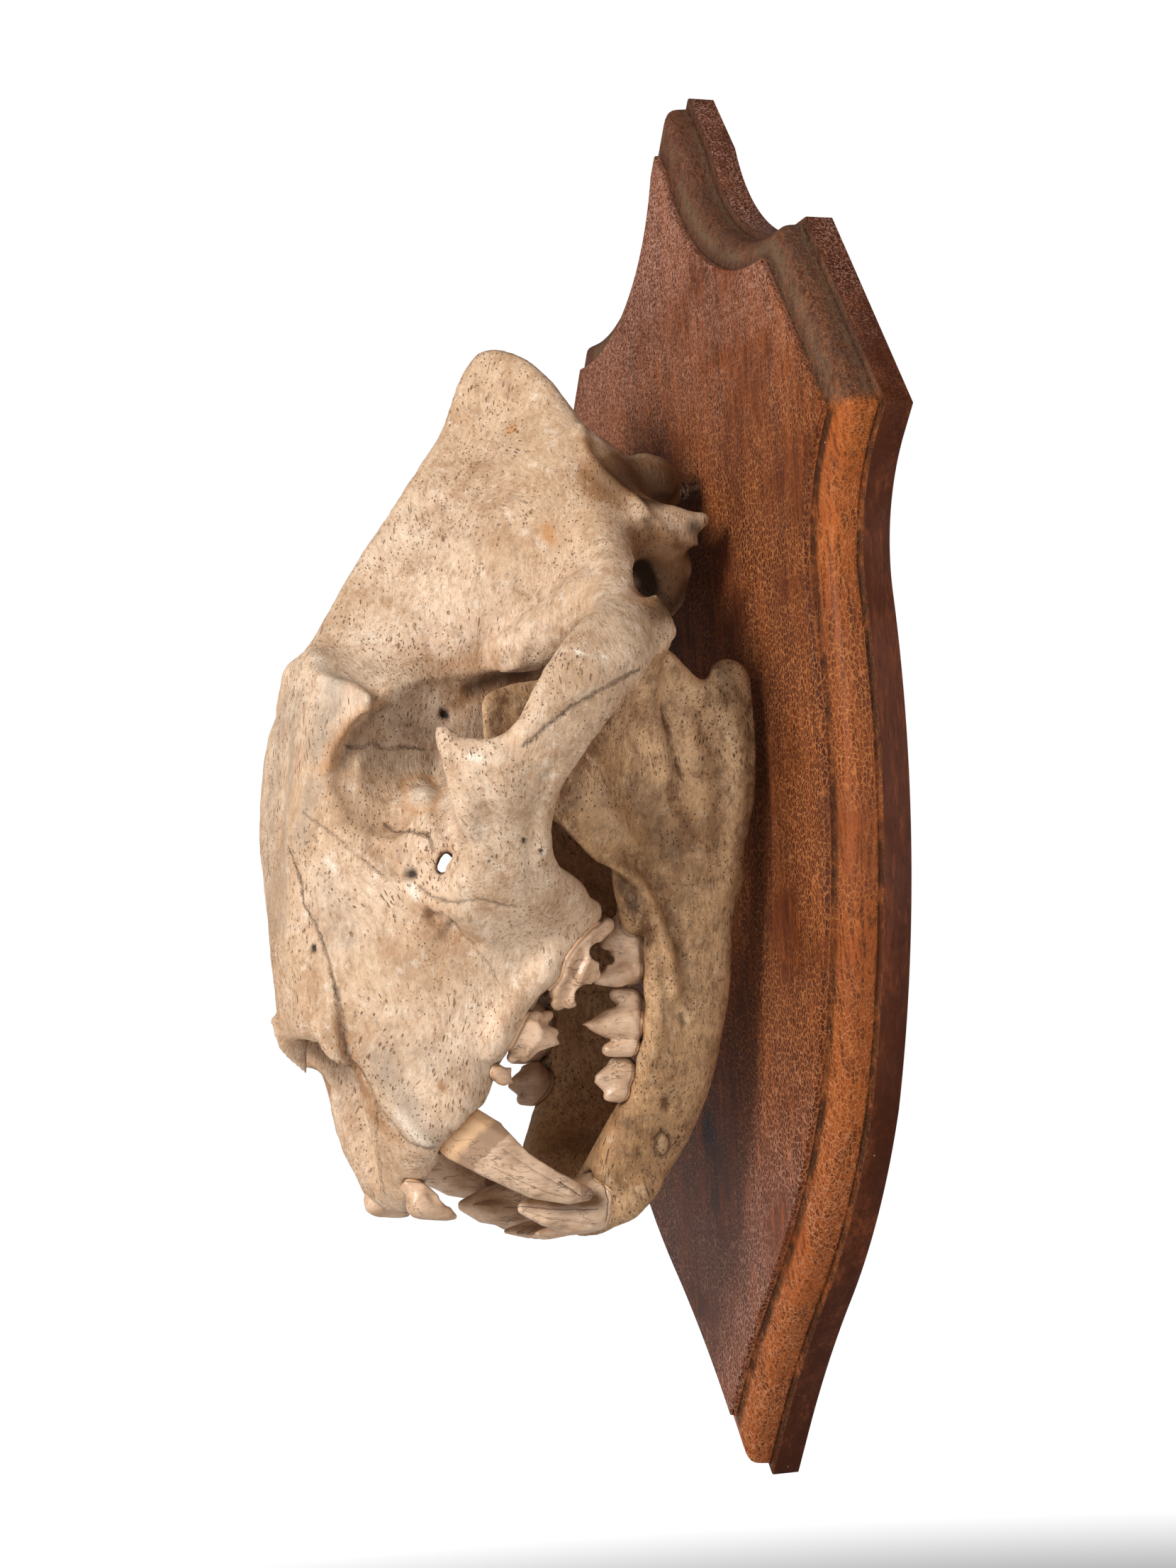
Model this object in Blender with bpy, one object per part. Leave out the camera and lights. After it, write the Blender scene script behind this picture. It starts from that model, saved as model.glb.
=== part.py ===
# Lion skull with its lower jaw, fixed on a carved wooden trophy shield.
#
# Frame: metres, +Z up. The shield's back face lies on Y = 0 and its middle line on
# X = 0. The front of the shield, and the skull on it, look along -Y. The nose points
# down, the forehead looks along -Y and the skull's left side is at +X.
# Lengths in the lists below are millimetres and are scaled by MM when used.

from math import cos, pi, sin

import bmesh
import bpy
import numpy as np
from mathutils import Matrix, Vector

MM = 0.001
# Room left between pieces that touch
GAP = 0.3

# Shield
SHIELD_DEPTH = 28.7
TOP_PEAK = (0.0, 260.0)
PEAK_SHOULDER = (5.0, 253.0)
SCOOP_MID = (33.0, 212.5)
SIDE_PEAK = (96.5, 192.0)
SHOULDER = (142.0, 124.0)
NECK_MID = (125.0, 97.0)
NECK_END = (120.0, 52.0)
BELLY_MID = (120.5, -42.0)
BELLY_END = (97.5, -131.5)
TAPER_MID = (76.0, -168.0)
TAPER_END = (49.0, -199.5)
TIP_MID = (23.0, -227.0)
BOTTOM_TIP = (0.0, -256.0)
# Moulding round the panel: (outward offset, depth behind the panel's face)
MOULDING = [(0.0, 0.0), (0.7, 3.3), (3.0, 4.2), (7.4, 5.4), (10.6, 7.4), (12.1, 10.4),
            (12.6, 16.2), (14.0, 17.0), (15.4, 19.2), (15.4, SHIELD_DEPTH)]

# Cranium: cross-sections at heights Z. Each half outline runs from the middle line of
# the forehead side round the left wall to the middle line of the palate side, (X, Y).
CRANIUM_SECTIONS = [
    (176, [(0, -113), (2.5, -112), (4, -110), (5, -108), (5.5, -106), (5.5, -104), (5, -102),
           (2.5, -101), (0, -101)]),
    (168, [(0, -120), (3.5, -119), (5, -114), (7, -109), (10, -104), (13, -99), (15, -97),
           (9, -95), (0, -95)]),
    (156, [(0, -125), (4, -123), (6, -116), (10, -109), (17, -102), (24, -95), (28, -91),
           (16, -88), (0, -88)]),
    (142, [(0, -131), (4, -129), (7, -119), (14, -110), (25, -102), (34, -94), (38, -87),
           (24, -79), (0, -79)]),
    (128, [(0, -142), (4, -139), (8, -128), (21, -116), (37, -104), (46, -92), (49, -80),
           (32, -66), (0, -66)]),
    (112, [(0, -153), (4, -150), (9, -139), (26, -125), (44, -109), (52, -93), (54, -74),
           (34, -56), (0, -56)]),
    (95, [(0, -166), (4, -163), (10, -151), (29, -135), (48, -116), (55, -96), (56, -76),
          (36, -58), (0, -56)]),
    (78, [(0, -177), (4.5, -174), (11, -162), (30, -144), (47, -124), (54, -102), (52, -82),
          (34, -64), (0, -60)]),
    (60, [(0, -188), (5, -185), (12, -174), (28, -155), (41, -134), (47, -112), (44, -90),
          (27, -72), (0, -67)]),
    (44, [(0, -196), (8, -194), (19, -186), (28, -167), (34, -145), (38, -122), (34, -100),
          (20, -82), (0, -76)]),
    (28, [(0, -198), (20, -199), (38, -192), (33, -174), (31, -152), (32, -129), (28, -108),
          (17, -92), (0, -86)]),
    (12, [(0, -199), (24, -202), (43, -195), (37, -180), (33, -157), (32, -133), (28, -114),
          (17, -100), (0, -94)]),
    (-6, [(0, -201), (23, -205), (41, -197), (40, -183), (37, -161), (35, -138), (31, -119),
          (18, -106), (0, -101)]),
    (-24, [(0, -204), (20, -207), (36, -200), (46, -188), (49, -170), (47, -148), (43, -124),
           (24, -112), (0, -108)]),
    (-42, [(0, -206), (17, -207), (32, -200), (46, -188), (60, -171), (64, -148), (60, -116),
           (35, -112), (0, -112)]),
    (-60, [(0, -207), (15, -207), (28, -198), (43, -184), (57, -167), (64, -147), (64, -104),
           (38, -116), (0, -118)]),
    (-78, [(0, -207), (14, -206), (26, -197), (39, -182), (51, -164), (59, -146), (61, -115),
           (34, -126), (0, -128)]),
    (-96, [(0, -205), (13, -204), (24, -194), (36, -180), (47, -164), (53, -150), (55, -122),
           (30, -138), (0, -140)]),
    (-112, [(0, -190), (12, -190), (23, -187), (37, -177), (48, -165), (53, -153), (51, -134),
            (28, -146), (0, -149)]),
    (-126, [(0, -183), (12, -184), (23, -182), (38, -176), (51, -166), (55, -156), (51, -141),
            (28, -151), (0, -155)]),
    (-140, [(0, -177), (12, -179), (23, -178), (38, -175), (49, -170), (54, -163), (50, -154),
            (27, -157), (0, -160)]),
    (-152, [(0, -173), (11, -176), (21, -174), (29, -171), (34, -168), (35, -165), (31, -160),
            (18, -159), (0, -160)]),
    (-162, [(0, -169), (9, -172), (16, -170), (21, -168), (24, -166), (24, -163), (20, -159),
            (11, -158), (0, -158)]),
    (-168, [(0, -166), (5, -167), (9, -166), (12, -165), (13, -163), (12, -161), (9, -160),
            (5, -159), (0, -159)]),
]

# Cheek arch: (upper edge, lower edge, half thickness), from the braincase to the face
CHEEK_ARCH = [
    ((30, -112, 76), (30, -78, 74), 13),
    ((56, -106, 70), (56, -77, 67), 13),
    ((82, -105, 61), (84, -77, 55), 10.5),
    ((102, -111, 55), (103, -80, 41), 8),
    ((112, -127, 44), (112, -94, 25), 6.5),
    ((115, -138, 30), (115, -105, 13), 6),
    ((113, -150, 8), (113, -116, 0), 6),
    ((106, -160, -8), (106, -122, -10), 6),
    ((96, -161, -24), (98, -126, -25), 7),
    ((84, -161, -38), (88, -120, -41), 8.5),
    ((70, -166, -50), (74, -108, -54), 9.5),
    ((50, -172, -60), (54, -110, -66), 12),
]
# Tapering processes: (points along the middle, radii)
PROCESSES = [
    ([(40, -191, -24), (40, -192, -6), (42, -191, 9), (46, -186, 20), (51.5, -177, 30)],
     [6, 6, 6, 5.5, 3.5]),
    ([(51, -178, 29), (38, -187, 34), (24, -191, 42), (10, -193, 52)], [3.5, 5, 5, 4]),
    ([(50, -74, 98), (54, -58, 97), (56, -42, 99)], [12, 8.5, 4]),
    ([(50, -72, 88), (56, -54, 88), (57, -47, 87)], [9, 5.5, 3.5]),
    ([(42, -86, 112), (54, -85, 96), (68, -87, 79), (84, -91, 64), (98, -96, 54)],
     [7, 9.5, 10, 10, 8]),
    ([(14, -104, -24), (14, -92, 6), (14, -78, 34)], [6, 5, 3.5]),
]
# Blade of the cheek bone behind the eye, as the arch's stations
CHEEK_BLADE = [
    ((112, -142, 12), (110, -146, -22), 5),
    ((107, -156, 9), (104, -165, -14), 5),
    ((102, -167, 11), (101, -171, 0), 4.2),
    ((100, -172.5, 12), (100, -174, 7), 3),
]
# Rounded masses: (centre, radii)
MASSES = [
    ((24, -52, 116), (14, 17, 14)),
    ((38, -57, 78), (15, 16, 21)),
    ((50, -146, -28), (24, 27, 26)),
    ((42, -160, -128), (11, 12, 15)),
]
# Ridge behind the braincase, from the top of the crest to the ear
NAPE_CREST = [(0, -110, 175), (9, -102, 172), (18, -94, 164), (28, -89, 152), (36, -86, 138),
              (44, -80, 121), (52, -71, 107)]
NAPE_CREST_RADIUS = 4.2

# Hollows cut from the cranium
NOSE_HOLLOW = [(-166, 8, -200, -171), (-152, 14, -205, -169), (-140, 17, -205, -166),
               (-122, 18.5, -215, -161), (-106, 19, -215, -155), (-99, 18.5, -199, -152),
               (-80, 16, -197, -144), (-52, 11, -190, -138), (-36, 5, -175, -148)]
THROAT_HOLLOW = [(-52, 8, -131, -124), (-38, 10, -130, -60), (-18, 10.5, -122, -60),
                 (2, 10.5, -110, -50), (24, 10, -96, -50), (46, 9, -80, -40)]
BRAIN_HOLLOW = [(140, 12, -84, -60), (118, 12, -88, -62), (104, 20, -106, -68),
                (86, 32, -128, -76), (66, 30, -140, -84), (50, 18, -138, -96)]
CHEEK_TUNNEL = [(66, -140, -26), (65, -151, -48), (62, -160, -68), (61, -170, -88)]
CHEEK_TUNNEL_RADII = [5, 4.2, 4.2, 5.5]
EAR_HOLE = [(62, -66, 75), (52, -68, 74), (38, -70, 73)]
EAR_HOLE_RADII = [7, 6, 4.5]
EAR_NOTCH = ((76, -57, 75), (18, 17, 12))
JOINT_SEAT = [(60, -79, 46), (86, -80, 46), (112, -80, 46)]
JOINT_SEAT_RADII = [8.3, 9.7, 8.3]
ORBIT_HOLLOW = ((80, -196, 4), (40, 34, 50))

# Lower jaw, left half: cross-sections at heights Z, each a list of (Y, X of the middle,
# half thickness) from the tooth edge to the lower edge
JAW_SECTIONS = [
    (33, [(-133, 84, 2), (-116, 82, 2.5), (-95, 80, 4), (-66, 76, 3.5), (-35, 73, 4)]),
    (29, [(-144, 84, 3), (-120, 82, 3.5), (-95, 80, 5), (-65, 76, 4), (-30, 73, 5)]),
    (15, [(-150, 84, 3), (-122, 82, 3.5), (-94, 79, 4.5), (-62, 76, 4), (-28, 73, 6)]),
    (0, [(-147, 83, 3.5), (-118, 80, 4), (-88, 78, 4.5), (-60, 75, 4.5), (-28, 72, 6.5)]),
    (-14, [(-133, 81, 4.5), (-106, 78, 4.5), (-82, 76, 5), (-57, 73, 5.5), (-30, 71, 7)]),
    (-28, [(-112, 78, 5.5), (-92, 75, 6), (-72, 72.5, 6.5), (-54, 71, 7), (-34, 70, 7)]),
    (-42, [(-92, 72, 6), (-78, 70, 8), (-66, 68, 8.5), (-52, 67.5, 8.5), (-37, 68, 7)]),
    (-56, [(-80, 65, 6), (-70, 64, 9), (-62, 63.5, 9.5), (-51, 63, 9), (-41, 63, 7)]),
    (-80, [(-78, 58.5, 6), (-70, 58, 9.5), (-61, 58, 10), (-51, 57.5, 9), (-42, 57, 7)]),
    (-104, [(-80, 54, 6.5), (-72, 53.5, 9.5), (-64, 53.5, 10), (-54, 53, 9), (-45, 52, 7)]),
    (-124, [(-84, 49, 6), (-77, 48.5, 9.5), (-68, 47.5, 10.5), (-58, 46, 11), (-49, 43, 10)]),
    (-138, [(-92, 43, 7), (-84, 43, 10.5), (-74, 40, 13), (-63, 32, 20), (-53, 27, 20)]),
    (-152, [(-97, 36, 10), (-90, 34, 15), (-80, 27, 22), (-69, 22, 22), (-59, 19, 20)]),
    (-164, [(-100, 28, 14), (-94, 24, 20), (-85, 21, 22), (-76, 18, 20), (-67, 16, 17)]),
    (-174, [(-101, 18, 17), (-97, 17.5, 18.5), (-90, 16.5, 17.5), (-83, 14.5, 15.5),
            (-77, 12.5, 13.5)]),
    (-181, [(-100, 9.5, 10.5), (-98, 10, 11), (-94, 9.5, 10.5), (-90, 9, 10), (-87, 8, 9)]),
]
JAW_ANGLE = [(76, -56, 20), (74, -43, 32), (74, -41, 40)]
JAW_ANGLE_RADII = [11, 9, 6.5]
JAW_ROLLER = [(68, -79, 46), (86, -80, 46), (102, -82, 45)]
JAW_ROLLER_RADII = [7.5, 9, 7]
JAW_NECK = [(82, -88, 18), (84, -82, 34), (86, -80, 46)]
JAW_NECK_RADII = [10, 7.5, 6.5]
CHEWING_HOLLOW = ((126, -88, 2), (45, 48, 45))

# Teeth of the left side. Blade teeth: (name, middle of the gum line, pointing, along,
# length, width, root depth, cusps as (place along, height)); along runs to the front.
UP = (0.05, 0.96, -0.28)
ROW = (-0.12, -0.62, -0.78)
BLADE_TEETH = [
    ("upper_premolar_4", (64, -109, -74.5), UP, ROW, 38, 13, 11,
     [(-1, 5), (-0.55, 8), (-0.2, 6), (0.05, 12), (0.45, 8), (0.7, 9), (1, 3)]),
    ("upper_premolar_3", (57, -127.5, -101.5), UP, (-0.2, -0.62, -0.76), 21, 11, 9,
     [(-1, 3), (-0.7, 8), (-0.45, 6), (0, 14), (0.5, 6), (1, 3)]),
    ("upper_premolar_2", (51.5, -134.5, -116), UP, (-0.3, -0.4, -0.86), 7, 6, 5,
     [(-1, 3), (0, 7), (1, 3)]),
    ("upper_molar_1", (53, -104, -54), UP, (1, 0, 0), 8, 5, 4, [(-1, 2), (0, 4), (1, 2)]),
    ("lower_molar_1", (57.5, -79, -71.5), (0.04, -1, -0.02), (-0.16, 0, -0.98), 27, 11, 10,
     [(-1, 5), (-0.6, 12), (-0.2, 16), (0.22, 8), (0.7, 21), (1, 12)]),
    ("lower_premolar_4", (53.5, -81, -98.5), (0.04, -1, 0), (-0.18, 0, -0.98), 24, 11, 10,
     [(-1, 5), (-0.65, 10), (-0.4, 8), (0, 23), (0.45, 9), (0.7, 12), (1, 4)]),
    ("lower_premolar_3", (48.5, -84.5, -120.5), (0.04, -1, 0), (-0.26, 0, -0.96), 16, 9, 9,
     [(-1, 4), (-0.6, 7), (0.0, 14), (0.6, 9), (1, 4)]),
]
# Curved teeth: (name, points along the middle from root to tip, half widths)
FANGS = [
    ("upper_canine", [(38, -164, -128), (44, -151, -137), (47, -137, -146), (49.5, -122, -156),
                      (50.5, -110, -161.5), (50.5, -102, -163.5)],
     [(6.5, 7.5), (8.5, 11.5), (8.2, 10.8), (7, 8.8), (4.6, 5.6), (1.6, 2.2)]),
    ("lower_canine", [(28, -72, -160), (32, -93, -166), (35.5, -106, -168), (36.5, -117, -168),
                      (35, -127, -167)],
     [(8, 8), (9, 11.5), (8, 10), (5.6, 7), (1.5, 1.8)]),
    ("upper_incisor_3", [(25, -168.5, -154), (28, -163, -160), (29.5, -157, -165),
                         (30, -151, -168)],
     [(3.6, 4), (4.6, 5.2), (3.8, 4.2), (1, 1.2)]),
    ("upper_incisor_2", [(14.5, -166, -158.5), (16, -160, -162), (16.2, -155, -164),
                         (16.2, -150.5, -164.5)],
     [(2.4, 3), (3.3, 3.8), (3, 2.8), (1.4, 0.8)]),
    ("upper_incisor_1", [(6, -165.5, -160), (6, -160, -163), (6.2, -155, -164.5), (6.2, -151, -165)],
     [(2.2, 3), (3, 3.6), (2.8, 2.6), (1.4, 0.8)]),
    ("lower_incisor_3", [(16.5, -93, -176), (17, -101, -177), (18, -108, -178), (18.5, -114, -178)],
     [(2.4, 3), (3, 3.4), (3.2, 2.8), (1.6, 0.8)]),
    ("lower_incisor_2", [(10, -93, -177), (10, -101, -178), (10.5, -107, -179), (10.8, -112, -179)],
     [(2.1, 2.8), (2.6, 3), (2.7, 2.4), (1.4, 0.8)]),
    ("lower_incisor_1", [(4, -93, -177.5), (4, -101, -178.5), (4, -106, -179.5), (4, -110, -179.5)],
     [(1.9, 2.6), (2.3, 2.8), (2.4, 2.2), (1.2, 0.8)]),
]
FANG_SIDES = {"canine": 10, "incisor": 6}

# Wire tie from the knuckle at the back of the skull into the shield
TIE = [(23, -43, 118), (25, -36, 117), (26.5, -31, 114), (25, -22, 113)]
TIE_RADIUS = 1.3
TIE_SIDES = 8
TIE_RINGS = 12

# How the bones are fused: voxel sizes, how far creases are filled, and the triangles
# before and after thinning
CRANIUM_VOXEL = 2.5
FINE_VOXEL = 2.2
JAW_VOXEL = 2.0
CRANIUM_FILLING = 4.5
JAW_FILLING = 2.0
CRANIUM_FACES = (110000, 3400)
JAW_FACES = (46000, 850)
# Edge of the cubes that trim the jaw at the middle plane and at the panel
BLOCK = 500


def material(name, colour, roughness):
    """Return a plain material."""
    made = bpy.data.materials.new(name)
    made.use_nodes = True
    shader = made.node_tree.nodes["Principled BSDF"]
    shader.inputs["Base Color"].default_value = (*colour, 1.0)
    shader.inputs["Roughness"].default_value = roughness
    shader.inputs["Metallic"].default_value = 0.0
    return made


def smooth_rows(knots, values, samples):
    """Read a smooth curve through rows of values at uneven knots."""
    knots = np.asarray(knots, float)
    values = np.asarray(values, float)
    steps = np.diff(knots)
    shape = (-1,) + (1,) * (values.ndim - 1)
    slopes = np.diff(values, axis=0) / steps.reshape(shape)
    tangents = np.empty_like(values)
    tangents[0] = slopes[0]
    tangents[-1] = slopes[-1]
    before = steps[:-1].reshape(shape)
    after = steps[1:].reshape(shape)
    tangents[1:-1] = (slopes[:-1] * after + slopes[1:] * before) / (before + after)
    place = np.clip(np.searchsorted(knots, samples, side="right") - 1, 0, len(steps) - 1)
    width = steps[place].reshape(shape)
    t = ((samples - knots[place]) / steps[place]).reshape(shape)
    start = values[place] * (1 + 2 * t) * (1 - t) ** 2 + tangents[place] * width * t * (1 - t) ** 2
    end = values[place + 1] * t ** 2 * (3 - 2 * t) + tangents[place + 1] * width * t ** 2 * (t - 1)
    return start + end


def densify(values, count):
    """Spread count samples on a smooth curve through values, by their spacing."""
    values = np.asarray(values, float)
    knots = np.concatenate([[0.0], np.cumsum(np.linalg.norm(np.diff(values, axis=0), axis=1))])
    return smooth_rows(knots, values, np.linspace(0.0, knots[-1], count))


def loft(bm, rings):
    """Skin a closed solid through rings of points, given in millimetres."""
    rows = [[bm.verts.new(Vector(p) * MM) for p in ring] for ring in rings]
    count = len(rows[0])
    faces = []
    for low, high in zip(rows[:-1], rows[1:]):
        for i in range(count):
            j = (i + 1) % count
            faces.append(bm.faces.new((low[i], low[j], high[j])))
            faces.append(bm.faces.new((low[i], high[j], high[i])))
    faces.append(bm.faces.new(rows[0][::-1]))
    faces.append(bm.faces.new(rows[-1]))
    volume = sum(f.verts[0].co.dot(f.verts[i].co.cross(f.verts[i + 1].co))
                 for f in faces for i in range(1, len(f.verts) - 1))
    if volume < 0.0:
        bmesh.ops.reverse_faces(bm, faces=faces)


def section_loft(bm, sections, side_points, step):
    """Loft a solid that is the same left and right through half outlines at heights."""
    heights = [-z for z, _ in sections]
    halves = np.array([densify(outline, side_points) for _, outline in sections])
    count = max(2, int(round((heights[-1] - heights[0]) / step)))
    samples = np.linspace(heights[0], heights[-1], count)
    rings = []
    for height, half in zip(samples, smooth_rows(heights, halves, samples)):
        right = [(-x, y, -height) for x, y in half[1:-1][::-1]]
        rings.append([(x, y, -height) for x, y in half] + right)
    loft(bm, rings)


def tube(bm, points, radii, sides=12, count=10, side=1, longer=0.0):
    """Loft a round bar through points with a radius at each, longer at both ends if asked."""
    path = densify([(p[0] * side, p[1], p[2], r) for p, r in zip(points, radii)], count)
    centres = [Vector(row[0:3]) for row in path]
    if longer:
        centres[0] -= (centres[1] - centres[0]).normalized() * longer
        centres[-1] += (centres[-1] - centres[-2]).normalized() * longer
    across = (centres[1] - centres[0]).orthogonal()
    rings = []
    for i, centre in enumerate(centres):
        along = (centres[min(i + 1, count - 1)] - centres[max(i - 1, 0)]).normalized()
        across = (across - along * across.dot(along)).normalized()
        third = along.cross(across)
        radius = float(path[i][3])
        rings.append([centre + radius * cos(a) * across + radius * sin(a) * third
                      for a in np.linspace(0, 2 * pi, sides, endpoint=False)])
    loft(bm, rings)


def strip(bm, stations, side=1, sides=14, count=26):
    """Loft a flattened bar through (upper edge, lower edge, half thickness) stations."""
    rows = densify([(*up, *low, thick) for up, low, thick in stations], count)
    middles = (rows[:, 0:3] + rows[:, 3:6]) / 2
    rings = []
    for i, row in enumerate(rows):
        reach = Vector((row[0:3] - row[3:6]) / 2)
        along = Vector(middles[min(i + 1, count - 1)] - middles[max(i - 1, 0)])
        thick = along.cross(reach).normalized() * float(row[6])
        ring = []
        for a in np.linspace(0, 2 * pi, sides, endpoint=False):
            point = Vector(middles[i]) + reach * cos(a) + thick * sin(a)
            ring.append((point.x * side, point.y, point.z))
        rings.append(ring)
    loft(bm, rings)


def mass(bm, centre, radii, side=1):
    """Add an ellipsoid."""
    place = Matrix.Translation(Vector((centre[0] * side, centre[1], centre[2])) * MM)
    size = Matrix.Diagonal((*(Vector(radii) * MM), 1.0))
    bmesh.ops.create_icosphere(bm, subdivisions=3, radius=1.0, matrix=place @ size)


def hollow(bm, stations, sides=14, count=14):
    """Loft a cavity on the middle plane from (height, half width, Y from, Y to) stations."""
    rows = densify(stations, count)
    rings = []
    for height, half, near, far in rows:
        rings.append([(half * cos(a), (near + far) / 2 + (far - near) / 2 * sin(a), height)
                      for a in np.linspace(0, 2 * pi, sides, endpoint=False)])
    loft(bm, rings)


def solid(name, bm, look=None):
    """Turn a bmesh into a named object."""
    mesh = bpy.data.meshes.new(name)
    bm.to_mesh(mesh)
    bm.free()
    made = bpy.data.objects.new(name, mesh)
    bpy.context.collection.objects.link(made)
    if look:
        mesh.materials.append(look)
    return made


def cutter(name, bm):
    """Turn a bmesh into an object that only cuts others."""
    made = solid(name, bm)
    made.hide_render = True
    made.display_type = "WIRE"
    return made


def remesh(target, size):
    """Fuse all that overlaps in an object into one even skin."""
    modifier = target.modifiers.new("fuse", "REMESH")
    modifier.mode = "VOXEL"
    modifier.voxel_size = size * MM
    modifier.use_smooth_shade = True


def swell(target, distance):
    """Push the skin along its normals."""
    modifier = target.modifiers.new("swell", "DISPLACE")
    modifier.strength = distance * MM
    modifier.mid_level = 0.0


def soften(target):
    """Relax the skin."""
    modifier = target.modifiers.new("soften", "SMOOTH")
    modifier.factor = 0.5
    modifier.iterations = 5


def fuse(target, voxel, filling):
    """Fuse overlapping forms and round out the creases between them."""
    remesh(target, voxel)
    swell(target, filling)
    remesh(target, voxel)
    swell(target, -filling)
    remesh(target, FINE_VOXEL)


def cut(target, tool):
    """Take a cutter away from an object."""
    modifier = target.modifiers.new(tool.name, "BOOLEAN")
    modifier.operation = "DIFFERENCE"
    modifier.solver = "EXACT"
    modifier.use_self = True
    modifier.object = tool


def thin_out(target, start, faces):
    """Bring the skin from a known number of triangles down to a smaller one."""
    modifier = target.modifiers.new("thin", "DECIMATE")
    modifier.ratio = faces / start


def arc(start, middle, end, count):
    """Read an arc through three points, without its first point."""
    (ax, ay), (bx, by), (cx, cy) = start, middle, end
    d = 2 * (ax * (by - cy) + bx * (cy - ay) + cx * (ay - by))
    ux = ((ax * ax + ay * ay) * (by - cy) + (bx * bx + by * by) * (cy - ay)
          + (cx * cx + cy * cy) * (ay - by)) / d
    uy = ((ax * ax + ay * ay) * (cx - bx) + (bx * bx + by * by) * (ax - cx)
          + (cx * cx + cy * cy) * (bx - ax)) / d
    radius = ((ax - ux) ** 2 + (ay - uy) ** 2) ** 0.5
    first, mid, last = (np.arctan2(y - uy, x - ux) for x, y in (start, middle, end))
    turn = (last - first) % (2 * pi)
    if (mid - first) % (2 * pi) > turn:
        turn -= 2 * pi
    angles = first + turn * np.arange(1, count + 1) / count
    return [(ux + radius * cos(a), uy + radius * sin(a)) for a in angles]


def shield_outline():
    """Return the panel's outline, top peak first, down its left side and back up."""
    left = [TOP_PEAK]
    left += [PEAK_SHOULDER]
    left += arc(PEAK_SHOULDER, SCOOP_MID, SIDE_PEAK, 7)
    left += [SHOULDER]
    left += arc(SHOULDER, NECK_MID, NECK_END, 4)
    left += arc(NECK_END, BELLY_MID, BELLY_END, 5)
    left += arc(BELLY_END, TAPER_MID, TAPER_END, 3)
    left += arc(TAPER_END, TIP_MID, BOTTOM_TIP, 3)
    return left + [(-x, z) for x, z in left[1:-1][::-1]]


def offset_outline(outline, distance):
    """Move a closed outline outwards, with mitred corners."""
    moved = []
    count = len(outline)
    for i, (x, z) in enumerate(outline):
        before = Vector(outline[i - 1])
        here = Vector((x, z))
        after = Vector(outline[(i + 1) % count])
        first = (here - before).normalized()
        second = (after - here).normalized()
        normal_one = Vector((-first.y, first.x))
        normal_two = Vector((-second.y, second.x))
        mitre = (normal_one + normal_two) / (1 + normal_one.dot(normal_two))
        moved.append(here + mitre * distance)
    return moved


def build_shield(look):
    """Build the carved shield from its outline and its moulding."""
    outline = shield_outline()
    rings = []
    for out, depth in MOULDING:
        rings.append([(p[0], depth - SHIELD_DEPTH, p[1]) for p in offset_outline(outline, out)])
    bm = bmesh.new()
    loft(bm, rings)
    return solid("shield", bm, look)


def build_tie(look):
    """Build the wire tie; return a cutter for the holes it passes into."""
    wire = bmesh.new()
    tube(wire, TIE, [TIE_RADIUS] * len(TIE), TIE_SIDES, TIE_RINGS)
    solid("fixing_wire", wire, look)
    drilling = bmesh.new()
    tube(drilling, TIE, [TIE_RADIUS + 1.5 * GAP] * len(TIE), TIE_SIDES, TIE_RINGS, longer=1.5 * GAP)
    return cutter("wire_drilling", drilling)


def cranium_forms():
    """Return the cranium's overlapping forms."""
    bm = bmesh.new()
    section_loft(bm, CRANIUM_SECTIONS, 18, 6)
    for side in (1, -1):
        strip(bm, CHEEK_ARCH, side)
        strip(bm, CHEEK_BLADE, side, 10, 8)
        for points, radii in PROCESSES:
            tube(bm, points, radii, side=side)
        for centre, radii in MASSES:
            mass(bm, centre, radii, side)
        tube(bm, NAPE_CREST, [NAPE_CREST_RADIUS] * len(NAPE_CREST), count=20, side=side)
    return bm


def cranium_hollows():
    """Return what is cut from the cranium."""
    bm = bmesh.new()
    hollow(bm, NOSE_HOLLOW)
    hollow(bm, THROAT_HOLLOW)
    hollow(bm, BRAIN_HOLLOW)
    for side in (1, -1):
        tube(bm, CHEEK_TUNNEL, CHEEK_TUNNEL_RADII, side=side)
        tube(bm, EAR_HOLE, EAR_HOLE_RADII, side=side)
        tube(bm, JOINT_SEAT, JOINT_SEAT_RADII, side=side)
        mass(bm, *ORBIT_HOLLOW, side)
        mass(bm, *EAR_NOTCH, side)
    return bm


def jaw_forms(side):
    """Return the overlapping forms of one half of the lower jaw."""
    bm = bmesh.new()
    heights = [-z for z, _ in JAW_SECTIONS]
    rows = np.array([densify(levels, 10) for _, levels in JAW_SECTIONS])
    samples = np.linspace(heights[0], heights[-1], 44)
    rings = []
    for height, row in zip(samples, smooth_rows(heights, rows, samples)):
        outer = [((x + half) * side, y, -height) for y, x, half in row]
        inner = [((x - half) * side, y, -height) for y, x, half in row[::-1]]
        rings.append(outer + inner)
    loft(bm, rings)
    tube(bm, JAW_ANGLE, JAW_ANGLE_RADII, side=side)
    tube(bm, JAW_ROLLER, JAW_ROLLER_RADII, side=side)
    tube(bm, JAW_NECK, JAW_NECK_RADII, side=side)
    return bm


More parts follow.
